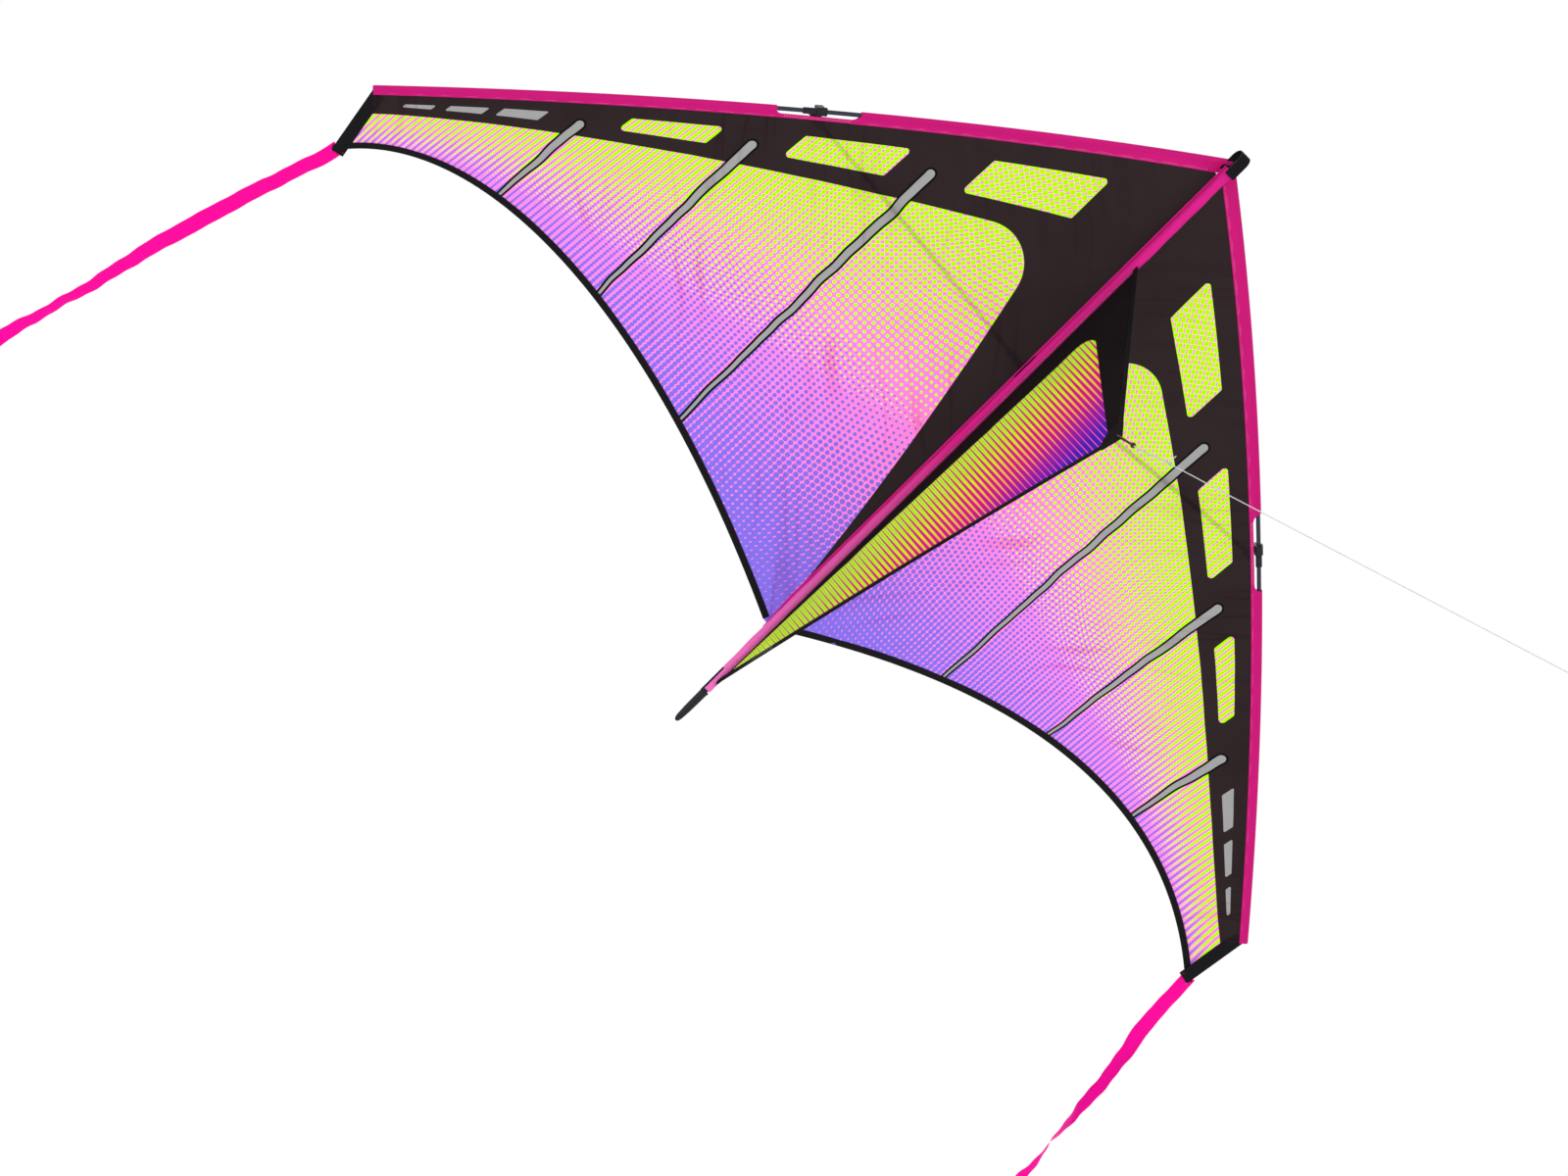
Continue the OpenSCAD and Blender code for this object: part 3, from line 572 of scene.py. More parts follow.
EDGE_LENGTH = float(np.linalg.norm(edge(1) - edge(0)))
TIP_CORNER = edge(1) + np.array([-TIP_LEAN, -TIP_CHORD, -0.002])
TRAIL_ROOT = np.array([FOLD_X + 0.0004, NOSE_Y - ROOT_CHORD, FOLD_Z])
TRAIL_A = TRAIL_ROOT + 0.45 * HALF_SPAN * np.array([1, TRAIL_SLOPE, 0.28])
TRAIL_B = TIP_CORNER + HALF_SPAN * np.array([-0.17, 0.17, 0.09])
EDGE_START = (FOLD_X + 0.0004 + 0.66 * SLEEVE_DEPTH) / HALF_SPAN


def trail(s):
    """Trailing edge: a cubic Bezier curve from the spine to the wingtip's rear corner."""
    s = np.asarray(s, float)[..., None]
    return ((1 - s) ** 3 * TRAIL_ROOT + 3 * s * (1 - s) ** 2 * TRAIL_A
            + 3 * s * s * (1 - s) * TRAIL_B + s ** 3 * TIP_CORNER)


def trail_y_mm(x):
    """Place of the trailing edge behind the nose, at a distance from the spine, both in millimetres."""
    line = trail(np.linspace(0, 1, 400))
    return np.interp(x, line[:, 0] / MM, (line[:, 1] - NOSE_Y) / MM)


def sleeve_back(u):
    """Depth of the sleeve behind the spar, narrowing evenly to the tip."""
    return SLEEVE_DEPTH + (SLEEVE_TIP_DEPTH - SLEEVE_DEPTH) * np.asarray(u, float)


def sail_front(s):
    """Front edge of the sail, inside the sleeve's seam."""
    share = (trail(s)[..., 0] - TRAIL_ROOT[0]) / (TIP_CORNER[0] - TRAIL_ROOT[0])
    u = EDGE_START + (1 - EDGE_START) * share
    return edge(u) + edge_frame(u)[1] * (sleeve_back(u) - 0.003)[..., None]


def on_edge(u, back, up):
    """Points beside the spar at u, by their distance back and up."""
    _, b, n = edge_frame(u)
    return edge(u) + b * np.asarray(back)[..., None] + n * np.asarray(up)[..., None]


# ---- Mesh making -----------------------------------------------------------------------------------


class Piece:
    """Gathers grids of points and makes one mesh of them; the left wing's are mirrored in X."""

    def __init__(self, side=1):
        self.side, self.points, self.faces, self.maps, self.finishes = side, [], [], [], []
        self.count = 0

    def grid(self, p, uv=None, second=None, wrap=False, caps=False, flip=False, finish=0):
        """A surface on points p[i, j]; wrap joins the last column to the first, caps closes both ends."""
        rows, columns = p.shape[:2]
        across = columns if wrap else columns - 1
        i, j = [a.ravel() for a in np.meshgrid(np.arange(rows - 1), np.arange(across), indexing="ij")]
        nxt = (j + 1) % columns
        quads = np.stack([i * columns + j, i * columns + nxt, (i + 1) * columns + nxt,
                          (i + 1) * columns + j], -1)
        corners = np.stack([i * (across + 1) + j, i * (across + 1) + j + 1,
                            (i + 1) * (across + 1) + j + 1, (i + 1) * (across + 1) + j], -1)
        if uv is None:
            uv = np.zeros((rows, across + 1, 2))
        maps = [np.asarray(m, float).reshape(-1, 2) for m in (uv, uv if second is None else second)]
        faces = [quads]
        looks = [[m[corners] for m in maps]]
        if caps:
            ring = np.arange(columns)
            for base, order in ((0, ring[::-1]), ((rows - 1) * columns, ring)):
                faces.append((base + order)[None])
                row = 0 if base == 0 else rows - 1
                looks.append([m[(row * (across + 1) + order)][None] for m in maps])
        turn = flip != (self.side < 0)
        for f, look in zip(faces, looks):
            if turn:
                f, look = f[:, ::-1], [m[:, ::-1] for m in look]
            self.faces.append(f + self.count)
            self.maps.append(look)
            self.finishes.append(np.full(len(f), finish, np.int32))
        self.points.append(p.reshape(-1, 3) * np.array([self.side, 1, 1]))
        self.count += rows * columns
        return self

    def make(self, name, finishes, maps=("weave",), sharp=40):
        """The mesh object, smooth but for edges sharper than this many degrees."""
        mesh = bpy.data.meshes.new(name)
        faces = [row for f in self.faces for row in f.tolist()]
        mesh.from_pydata(np.concatenate(self.points).tolist(), [], faces)
        for k, label in enumerate(maps):
            layer = mesh.uv_layers.new(name=label)
            flat = np.concatenate([look[k].reshape(-1, 2) for look in self.maps])
            layer.data.foreach_set("uv", flat.astype(np.float32).ravel())
        for finish in finishes:
            mesh.materials.append(finish)
        mesh.polygons.foreach_set("material_index", np.concatenate(self.finishes))
        mesh.shade_smooth()
        mesh.set_sharp_from_angle(angle=math.radians(sharp))
        mesh.update()
        made = bpy.data.objects.new(name, mesh)
        bpy.context.scene.collection.objects.link(made)
        return made


def carried(path, normal=None):
    """Directions along a path and two square to it, kept from turning by carrying the first one along."""
    along = unit(np.gradient(path, axis=0))
    start = np.array([0.05, 1.0, 0.02]) if normal is None else np.asarray(normal, float)
    side = np.empty_like(path)
    for k, way in enumerate(along):
        start = start - way * (start @ way)
        start = start / np.linalg.norm(start)
        side[k] = start
    return along, side, np.cross(along, side)


def lengths(path):
    """Distance along a path at each of its points."""
    return np.concatenate([[0], np.cumsum(np.linalg.norm(np.diff(path, axis=0), axis=1))])


def smooth_path(points, step):
    """A path through given points as a Catmull-Rom curve, with points about a step apart."""
    points = np.asarray(points, float)
    padded = np.vstack([2 * points[0] - points[1], points, 2 * points[-1] - points[-2]])
    parts = []
    for k in range(len(points) - 1):
        p0, p1, p2, p3 = padded[k:k + 4]
        n = max(2, int(np.ceil(np.linalg.norm(p2 - p1) / step)))
        t = np.linspace(0, 1, n, endpoint=False)[:, None]
        parts.append(0.5 * (2 * p1 + (p2 - p0) * t + (2 * p0 - 5 * p1 + 4 * p2 - p3) * t ** 2
                            + (3 * p1 - p0 - 3 * p2 + p3) * t ** 3))
    return np.vstack([*parts, points[-1:]])


def tube(piece, path, radius, sides=12, normal=None, finish=0, bevel=0.0):
    """A round tube: a circle of this radius carried along the path, its two ends rounded over by bevel."""
    path = np.asarray(path, float)
    radius = np.full(len(path), radius) if np.isscalar(radius) else np.asarray(radius, float)
    along, side, up = carried(path, normal)
    if bevel:
        path = np.vstack([path[:1], path[:1] + along[:1] * bevel * 0.5, path,
                          path[-1:] - along[-1:] * bevel * 0.5, path[-1:]])
        path[2], path[-3] = path[2] + along[0] * bevel, path[-3] - along[-1] * bevel
        radius = np.concatenate([[radius[0] - bevel, radius[0] - bevel * 0.3], radius,
                                 [radius[-1] - bevel * 0.3, radius[-1] - bevel]])
        side, up = [np.vstack([v[:1], v[:1], v, v[-1:], v[-1:]]) for v in (side, up)]
    angle = np.linspace(0, math.tau, sides, endpoint=False)
    ring = np.cos(angle)[None, :, None] * side[:, None] + np.sin(angle)[None, :, None] * up[:, None]
    p = path[:, None] + ring * radius[:, None, None]
    turn = np.linspace(0, math.tau, sides + 1)
    uv = np.stack(np.broadcast_arrays(turn[None], lengths(path)[:, None]), -1)
    return piece.grid(p, uv, wrap=True, caps=True, finish=finish)


def bar_profile(width, thickness, bend, count=5):
    """Section of a flat strap: a rectangle with its corners rounded by bend, as points round it."""
    corner = np.linspace(0, math.pi / 2, count)
    w, t = width / 2 - bend, thickness / 2 - bend
    pts = []
    for k, (sx, sy) in enumerate(((1, 1), (-1, 1), (-1, -1), (1, -1))):
        a = corner + k * math.pi / 2
        pts.append(np.stack([sx * w + bend * np.cos(a), sy * t + bend * np.sin(a)], -1))
    return np.vstack(pts)


def strap(piece, path, across, width, thickness, bend=None, lift=None, finish=0):
    """A flat strap: a rounded rectangle carried along a path, its wide way along the vectors across."""
    path, across = np.asarray(path, float), unit(np.broadcast_to(across, np.shape(path)))
    along = unit(np.gradient(path, axis=0))
    across = unit(across - along * (across * along).sum(-1, keepdims=True))
    up = np.cross(along, across)
    width = np.broadcast_to(width, len(path)).astype(float)
    thick = np.broadcast_to(thickness, len(path)).astype(float)
    bend = thick.min() / 2 * 0.9 if bend is None else bend
    rows = []
    for k in range(len(path)):
        q = bar_profile(width[k], thick[k], min(bend, thick[k] / 2 * 0.95))
        rows.append(path[k] + across[k] * q[:, :1] + up[k] * q[:, 1:])
    p = np.stack(rows)
    if lift is not None:
        p = lift(p)
    q = bar_profile(float(width.mean()), float(thick.mean()), bend)
    q = np.vstack([q, q[:1]])
    uv = np.stack(np.broadcast_arrays(q[None, :, 0], lengths(path)[:, None]), -1)
    return piece.grid(p, uv, wrap=True, caps=True, finish=finish)


def stitches(piece, path, normal, pitch=0.0030, length=0.0021, thick=0.00032, rise=0.00016, finish=1):
    """A row of thread stitches: short arcs along a path that rise off the cloth and dip in at their ends."""
    path = np.asarray(path, float)
    at = lengths(path)
    centres = np.arange(pitch, at[-1] - pitch, pitch)
    if not len(centres):
        return piece
    t = np.linspace(-0.5, 0.5, 5)
    where = centres[:, None] + t * length
    p = np.stack([np.interp(where, at, path[:, k]) for k in range(3)], -1)
    n = np.stack([np.interp(where, at, np.broadcast_to(normal, path.shape)[:, k]) for k in range(3)], -1)
    n = unit(n)
    way = unit(np.gradient(p, axis=1))
    side = np.cross(n, way)
    middle = p + n * (rise * np.cos(math.pi * t) - thick * 0.3)[None, :, None]
    angle = np.linspace(0, math.tau, 5, endpoint=False)
    ring = np.cos(angle)[:, None] * side[:, :, None] + np.sin(angle)[:, None] * n[:, :, None]
    fat = thick / 2 * (0.45 + 0.55 * np.cos(math.pi * t * 0.9))
    rings = middle[:, :, None] + ring * fat[None, :, None, None]
    for one in rings:
        piece.grid(one, wrap=True, caps=True, finish=finish)
    return piece


# ---- Finishes --------------------------------------------------------------------------------------

SAIL = sail_finish()
KEEL = keel_finish()
SLEEVE = plain_cloth_finish("pink_sleeve", srgb(214, 24, 128), srgb(214, 24, 128), (0, 1), 0.24)
SPINE_CLOTH = plain_cloth_finish("spine_sleeve_cloth", srgb(232, 36, 150), srgb(255, 124, 206), (430, 760),
                                 0.3)
RIBBON = plain_cloth_finish("magenta_ribbon", srgb(228, 0, 140), srgb(232, 0, 148), (0, 600), 0.3)
TAPE = webbing_finish("black_tape", srgb(13, 11, 15))
THREAD = moulded_finish("pink_thread", srgb(240, 120, 185), srgb(250, 160, 205), 0.6, 900.0)
BLACK_THREAD = moulded_finish("black_thread", srgb(17, 15, 19), srgb(28, 26, 30), 0.7, 900.0)
CARBON = rod_finish()
SPINE_ROD = moulded_finish("spine_carbon", srgb(12, 16, 28), srgb(26, 32, 48), 0.36, 300.0)
METAL = metal_finish()
MOULDED = moulded_finish("moulded_nylon", srgb(11, 12, 15), srgb(20, 21, 25), 0.5, 1500.0)
VINYL = moulded_finish("dipped_vinyl", srgb(6, 8, 16), srgb(12, 15, 28), 0.3, 500.0)
SOFT_TUBE = moulded_finish("flexible_vinyl", srgb(22, 22, 25), srgb(36, 36, 40), 0.42, 700.0)
TOW_CORD = cord_finish("red_cord", srgb(112, 16, 26), 1.6)
LINE_CORD = cord_finish("pale_line", srgb(240, 240, 240), 2.4)

# ---- Line and tow loop -----------------------------------------------------------------------------

LOOP_LEG = np.array([
    (0, -1.5, 9), (1.3, -1.5, 8.9), (2.6, -1.4, 7.6), (3, -1, 4), (3, -0.5, 0), (2.9, 0.5, -8),
    (2.4, 1.5, -17), (1.4, 2.4, -24), (1.2, 3, -28.5)]) * MM
LEADER_ROUTE = np.array([
    (0, 3.5, -35.6), (0, 4, -40), (0, 5, -50), (0, 7, -60), (0, 9, -75), (0, 12, -90), (0, 14.5, -105),
    (0, 17, -120), (0, 18, -127)]) * MM
LINE_ROUTE = np.array([
    (0, 18.8, -132.2), (0, 20, -140), (0, 26, -180), (0, 36, -250), (0, 48, -330), (0, 60, -410),
    (0, 72, -490),
    (0, 84, -570), (0, 96, -650), (0, 108, -730), (0, 120, -810), (0, 132, -890), (0, 144, -970),
    (0, 153, -1030), (0, 162, -1090), (0, 168, -1130), (0, 171, -1150)]) * MM
TOW_KNOT_AT = np.array([0, 3.2, -32]) * MM
LEADER_KNOT_AT = np.array([0, 18.4, -129.6]) * MM
END_KNOT_AT = np.array([0, 171.3, -1152.2]) * MM
LINE_WAY = np.array([0, 0.15, -0.98])


def wound_knot(piece, centre, way, reach, cord_r, turns):
    """A wrapped knot: a helix of cord round the line's way, its radius swelling like a barrel."""
    way = unit(np.asarray(way, float))
    t = np.linspace(0, 1, 26 * turns)
    side = unit(np.cross(way, [1.0, 0.2, 0.1]))
    other = np.cross(way, side)
    swell = (reach - cord_r) * (0.35 + 0.65 * np.sin(math.pi * t) ** 0.6)
    angle = math.tau * turns * t
    path = (centre + way * ((t - 0.5) * 2 * (reach - cord_r))[:, None]
            + (side * np.cos(angle)[:, None] + other * np.sin(angle)[:, None]) * swell[:, None])
    return tube(piece, path, cord_r, sides=10, bevel=cord_r * 0.5)


def tow_line():
    """The tow loop, its knot, the doubled leader, its knot, the flying line and the loop on its end."""
    leg = smooth_path(LOOP_LEG, 0.0012)
    bottom = np.array([[0, 3.6, -30.6]]) * MM
    loop = np.vstack([leg, smooth_path(np.vstack([leg[-1:], bottom, leg[-1:] * [-1, 1, 1]]), 0.001)[1:-1],
                      leg[::-1][:-1] * [-1, 1, 1]])
    red = tube(Piece(), loop, 0.001, sides=12, normal=(0, 1, 0)).make("tow_loop_cord", [TOW_CORD])
    red_knot = wound_knot(Piece(), TOW_KNOT_AT, LEADER_ROUTE[1] - TOW_KNOT_AT, 0.0034, 0.001, 3)
    red_knot = red_knot.make("tow_loop_knot", [TOW_CORD])

    line = smooth_path(LEADER_ROUTE, 0.0015)
    _, side, up = carried(line)
    turn = lengths(line) / 0.016 * math.tau
    strands = Piece()
    for start in (0, math.pi):
        wind = side * np.cos(turn + start)[:, None] + up * np.sin(turn + start)[:, None]
        tube(strands, line + wind * 0.00058, 0.00055, sides=8)
    leader = strands.make("doubled_leader", [LINE_CORD])
    knot = wound_knot(Piece(), LEADER_KNOT_AT, LINE_ROUTE[1] - LEADER_KNOT_AT, 0.0025, 0.0006, 4)
    tag = LEADER_KNOT_AT + np.array([(0, 0, 0), (1.2, 2.5, 0.5), (2.0, 6, 0.6), (2.2, 11, -0.6)]) * MM
    tube(knot, smooth_path(tag, 0.001), 0.00055, sides=8, bevel=0.0002)
    leader_knot = knot.make("leader_knot_and_tag", [LINE_CORD])

    taut = smooth_path(LINE_ROUTE, 0.006)
    flying = tube(Piece(), taut, 0.0006, sides=10).make("thin_flying_line", [LINE_CORD])
    end = wound_knot(Piece(), END_KNOT_AT, LINE_WAY, 0.0023, 0.0006, 3)
    t = np.linspace(0, math.tau, 60)
    ring = np.stack([np.zeros_like(t), 0.0082 * np.sin(t) * (1 - 0.35 * np.cos(t)),
                     -0.0109 * (1 - np.cos(t))], -1)
    tilt = math.atan2(LINE_WAY[1], -LINE_WAY[2])
    turned = np.stack([ring[:, 0], ring[:, 1] * math.cos(tilt) - ring[:, 2] * math.sin(tilt),
                       ring[:, 1] * math.sin(tilt) + ring[:, 2] * math.cos(tilt)], -1)
    tube(end, END_KNOT_AT + turned, 0.0007, sides=10, normal=(1, 0, 0))
    end_loop = end.make("line_end_knot_and_loop", [LINE_CORD])

    for piece, slot, nodes in ((red, "tow_cord", ("tow_loop",)), (red_knot, "tow_cord", ("tow_knot",)),
                               (leader, "line_cord", ("line_leader",)),
                               (leader_knot, "line_cord", ("leader_knot",)),
                               (flying, "line_cord", ("flying_line",)),
                               (end_loop, "line_cord", ("line_end_loop",))):
        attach(piece, "keel")
        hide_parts(*nodes)
    float(lengths(loop)[-1])
    float(lengths(line)[-1])
    float(lengths(taut)[-1])


tow_line()

# ---- Ribbon tails ----------------------------------------------------------------------------------

TAIL_W = 0.018
RIGHT_TAIL = np.array([
    (-4, 9, 0), (-1, -13, 6), (7, -45, 15), (20, -103, 32), (31, -163, 51), (42, -223, 68), (50, -293, 89),
    (63, -371, 113), (69, -412, 125), (75, -463, 140), (81, -513, 155), (87, -563, 170)]) * MM
LEFT_TAIL = np.array([
    (-4, 9, 0), (2, -23, 8), (14, -73, 24), (27, -108, 34), (42, -159, 49), (53, -204, 63), (63, -245, 75),
    (76, -293, 89), (87, -343, 104), (99, -393, 119), (110, -453, 137), (120, -508, 153),
    (129, -563, 170)]) * MM
# How far each ribbon is turned about its own length, in degrees, at shares of its length
RIGHT_TURNS = ((0, 0.1, 0.3, 0.5, 0.62, 0.8, 1.0), (0, 8, -14, 18, 34, -10, 30))
LEFT_TURNS = ((0, 0.12, 0.22, 0.33, 0.45, 0.55, 0.66, 0.78, 0.9, 1.0),
              (0, 10, 62, 70, 118, 165, 205, 240, 290, 330))


def ribbon_tail(side, name, offsets, turns):
    """A ribbon: a straight line across the route, turned about it by eased angles, with small ripples."""
    route = smooth_path(TIP_CORNER + offsets, 0.004)
    along, _, _ = carried(route)
    share = lengths(route) / lengths(route)[-1]
    level = unit(np.cross(along, [0.0, 0.0, 1.0]))
    up = np.cross(level, along)
    angle = np.radians(np.interp(share, *turns))
    kernel = np.hanning(15) / np.hanning(15).sum()
    angle = np.convolve(np.pad(angle, 7, mode="edge"), kernel, "valid")
    wide = level * np.cos(angle)[:, None] + up * np.sin(angle)[:, None]
    face = np.cross(along, wide)
    ripple = (0.0009 * np.sin(share * 61) + 0.0006 * np.sin(share * 143 + 1.3)) * np.minimum(1, share * 12)
    t = np.linspace(-0.5, 0.5, 9)
    cup = 0.0011 * np.cos(math.pi * t)[None, :] * np.sin(share * 23)[:, None]
    p = (route[:, None] + wide[:, None] * (t * TAIL_W)[None, :, None]
         + face[:, None] * (ripple[:, None] + cup)[..., None])
    uv = np.stack(np.broadcast_arrays(t[None] * TAIL_W, lengths(route)[:, None]), -1)
    made = Piece(side).grid(p, uv).make(name, [RIBBON])
    float(lengths(route)[-1])
    return made


for wing, offsets, turns in (("right", RIGHT_TAIL, RIGHT_TURNS), ("left", LEFT_TAIL, LEFT_TURNS)):
    made = ribbon_tail(WINGS[wing], f"{wing}_ribbon_tail", offsets, turns)
    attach(made, f"{wing}_wing")
    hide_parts(f"{wing}_tail")

# ---- Sail panels -----------------------------------------------------------------------------------


def creases(x, y, seed, count=26):
    """Height of soft folds in cloth: ridges with a bell-shaped section that die out along their length."""
    r = np.random.default_rng(seed)
    cx, share = r.uniform(0.05, 0.72, count), r.uniform(0.15, 0.95, count)
    ahead = NOSE_Y + (edge_y_mm(cx / MM) * (1 - share) + trail_y_mm(cx / MM) * share) * MM
    angle = math.pi / 2 + r.normal(0, 0.30, count) - 0.25
    width, reach = r.uniform(0.006, 0.016, count), r.uniform(0.05, 0.15, count)
    height = r.uniform(-1, 1, count) * width * 0.085
    dx, dy = x[None] - cx[:, None, None], y[None] - ahead[:, None, None]
    c, s = np.cos(angle)[:, None, None], np.sin(angle)[:, None, None]
    along, across = dx * c + dy * s, dy * c - dx * s
    bell = np.exp(-(across / width[:, None, None]) ** 2 - (along / reach[:, None, None]) ** 2)
    return (height[:, None, None] * bell).sum(0)


def sail_heights(x, y, s, v, seed):
    """How far the wind lifts the cloth: one bulge along the chord, ripples at the free edge, and folds."""
    held = np.clip(s * 14, 0, 1) * np.clip(v * 9, 0, 1) * np.clip((1 - s) * 16, 0, 1)
    bulge = 0.0045 * np.sin(math.pi * v) ** 0.9 * np.sin(math.pi * np.clip(s, 0, 1)) ** 0.6
    ripple = 0.0006 * np.sin(s * 41 + 2.0 * v) * v ** 3
    tug = 0.0011 * np.sin(x * 95 - y * 30) * np.exp(-((s - 0.06) / 0.09) ** 2) * np.sin(math.pi * v)
    return (bulge + ripple + tug + creases(x, y, seed)) * held


ROD_IN = np.array([FOLD_X + 0.008, NOSE_Y - 0.3135, SPINE_Z + 0.025])
ROD_OUT = edge(FITTING_AT) + np.array([-3, -8, 12]) * MM


def below_rod(p):
    """Cloth pressed down where the spreader rod lies on it, with a smooth hollow beside the rod."""
    share = (p[..., 0] - ROD_IN[0]) / (ROD_OUT[0] - ROD_IN[0])
    rod = ROD_IN + (ROD_OUT - ROD_IN) * share[..., None]
    beside = np.abs(p[..., 1] - rod[..., 1])
    limit = rod[..., 2] - SPREADER_R - 0.0018 + beside * 0.10 + beside ** 2 * 2.0
    over = np.clip((p[..., 2] - limit) / 0.0008, -60, 60)
    p[..., 2] -= 0.0008 * np.log1p(np.exp(over)) * (share < 1.02)
    return p


def sail_panel(side, name, seed):
    """A wing's cloth: straight lines from the sleeve's seam to the trailing edge, lifted by the wind."""
    s = np.concatenate([np.linspace(0, 1, 201)])[:, None]
    v = np.linspace(0, 1, 101)[None]
    front, rear = sail_front(s[:, 0])[:, None], trail(s[:, 0])[:, None]
    p = front + (rear - front) * v[..., None] * 0.9995
    p[..., 2] += sail_heights(p[..., 0], p[..., 1], s, v, seed)
    p = below_rod(p)
    root = np.repeat(p[:1], 5, axis=0)
    root[..., 0] *= np.linspace(0, 0.9, 5)[:, None]
    p = np.concatenate([root, p])
    x = p[..., 0] / MM
    y = (p[..., 1] - NOSE_Y) / MM
    e = edge_y_mm(x) - y
    e_end = edge_y_mm(x) - trail_y_mm(x)
    flat, chord = np.stack([x, y], -1) * MM, np.stack([e, e_end], -1) * MM
    return Piece(side).grid(p, flat, chord, flip=True).make(name, [SAIL], maps=("print", "chord"))


for wing, side in WINGS.items():
    cloth = sail_panel(side, f"{wing}_sail_cloth", 7 + side)
    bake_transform(cloth)
    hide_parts(f"{wing}_sail")

# ---- Edges of a wing -------------------------------------------------------------------------------


def sleeve_section(depth, count=15):
    """Round the sleeve: a circle in front, flanks that curve down to the seam behind, as back and up."""
    a = np.radians(np.linspace(60, 300, count))
    t = np.linspace(0, 1, 9)[1:]

    def flank(sign):
        start = np.array([SLEEVE_R * 0.5, sign * SLEEVE_R * math.sin(math.radians(60))])
        end = np.array([depth, sign * SEAM_T / 2])
        middle = np.array([depth * 0.5, sign * (SLEEVE_R * 0.45 + SEAM_T * 0.3)]) * 2 - (start + end) / 2
        k = t[:, None]
        return (1 - k) ** 2 * start + 2 * k * (1 - k) * middle + k * k * end

    front = np.stack([SLEEVE_R * np.cos(a), SLEEVE_R * np.sin(a)], -1)
    return np.vstack([front, flank(-1), flank(1)[::-1]])


def sleeve_run(piece, start, end, open_start, open_end, rows):
    """A run of the leading-edge sleeve; where it meets the cut-out its end curves back to the hem."""
    hem, turn = 0.0045, 0.007
    base = sleeve_section(SLEEVE_DEPTH)
    share = np.clip((base[:, 0] + SLEEVE_R) / (SLEEVE_DEPTH + SLEEVE_R), 0, 1)

    def cut(slant):
        depth = float(sleeve_back(WINDOW_START))
        back = share * (depth + SLEEVE_R) - SLEEVE_R
        inner = np.clip((back - (depth - hem - turn)) / turn, 0, 1)
        return (turn * (1 - np.sqrt(1 - inner ** 2 * 0.999)) + slant * share) / EDGE_LENGTH

    t = np.linspace(0, 1, rows)[:, None]
    first = -cut(0.001) + start if open_start else (0.0006 + 0.61 * base[:, 0]) / HALF_SPAN
    last = end + (cut(0.005) if open_end else 0)
    u = first + (last - first) * t
    u = np.broadcast_to(u, (rows, len(base))).copy()
    sections = np.stack([sleeve_section(float(sleeve_back(k))) for k in u.mean(1)])
    pucker = 0.00016 * np.sin(u * EDGE_LENGTH / 0.0044) * share ** 2
    p = on_edge(u, sections[..., 0], sections[..., 1] + np.sign(sections[..., 1]) * pucker * 1.0)
    if not open_start:
        way = edge_frame(u[0])[0]
        p[0] += way * ((0.0006 - p[0, :, 0]) / way[:, 0])[:, None]
    girth = np.concatenate([[0], np.cumsum(np.linalg.norm(np.diff(base, axis=0), axis=1))])
    girth = np.append(girth, girth[-1] + SEAM_T)
    along = np.concatenate([u, u[:, :1]], axis=1) * EDGE_LENGTH
    uv = np.stack([np.broadcast_to(girth, along.shape), along], -1)
    return piece.grid(p, uv, wrap=True, finish=0)


def edge_line(start, end, back_from_seam, up, step=0.004):
    """A line along the leading edge, this far in front of the seam and this far up from the spar's plane."""
    u = np.linspace(start, end, max(3, int((end - start) * EDGE_LENGTH / step)))
    return on_edge(u, sleeve_back(u) - back_from_seam, np.full_like(u, up)), edge_frame(u)[2]


def leading_edge_sleeve(side, name):
    """Pink sleeve round the spar, cut out at the fitting, with a hem by the sail and two stitch rows."""
    piece = Piece(side)
    sleeve_run(piece, EDGE_START - 0.006, WINDOW_START, False, True, 150)
    sleeve_run(piece, WINDOW_END, 0.999, True, False, 150)
    u = np.linspace(WINDOW_START - 0.012, WINDOW_END + 0.012, 40)
    hem_line = on_edge(u, sleeve_back(u) - 0.0024, np.zeros_like(u))
    strap(piece, hem_line, edge_frame(u)[1], 0.0046, 0.0010)
    for back, sign in ((0.0016, -1), (0.0016, 1), (0.0030, -1)):
        for start, end in ((EDGE_START + 0.004, WINDOW_START), (WINDOW_START, WINDOW_END),
                           (WINDOW_END, 0.992)):
            lift = 0.00052 if start == WINDOW_START else 0.00078 + back * 0.12
            line, normal = edge_line(start, end, back, sign * lift)
            stitches(piece, line, normal * sign, finish=1)
    return piece.make(name, [SLEEVE, THREAD])


def binding(piece, path, inward, width, thickness, rows_of_stitches, sides=(-1, 1)):
    """Tape folded over a raw edge: a flat strap, outer side on the edge, stitched near the inner side."""
    inward = unit(np.asarray(inward, float))
    middle = path + inward * (width / 2)
    strap(piece, middle, inward, width, thickness, lift=None)
    along = unit(np.gradient(middle, axis=0))
    across = unit(inward - along * (inward * along).sum(-1, keepdims=True))
    up = np.cross(along, across)
    for inset in rows_of_stitches:
        for sign in sides:
            line = path + inward * (width - inset) + up * (sign * thickness * 0.5)
            stitches(piece, line, up * sign, finish=1)
    return piece


def trailing_binding(side, name):
    """Black tape folded over the trailing edge."""
    s = np.linspace(0, 1, 240)
    path = trail(s)
    inward = unit(sail_front(s) - path)
    piece = binding(Piece(side), path, inward, BINDING_W, 0.0013, (0.0017,))
    return piece.make(name, [TAPE, BLACK_THREAD])


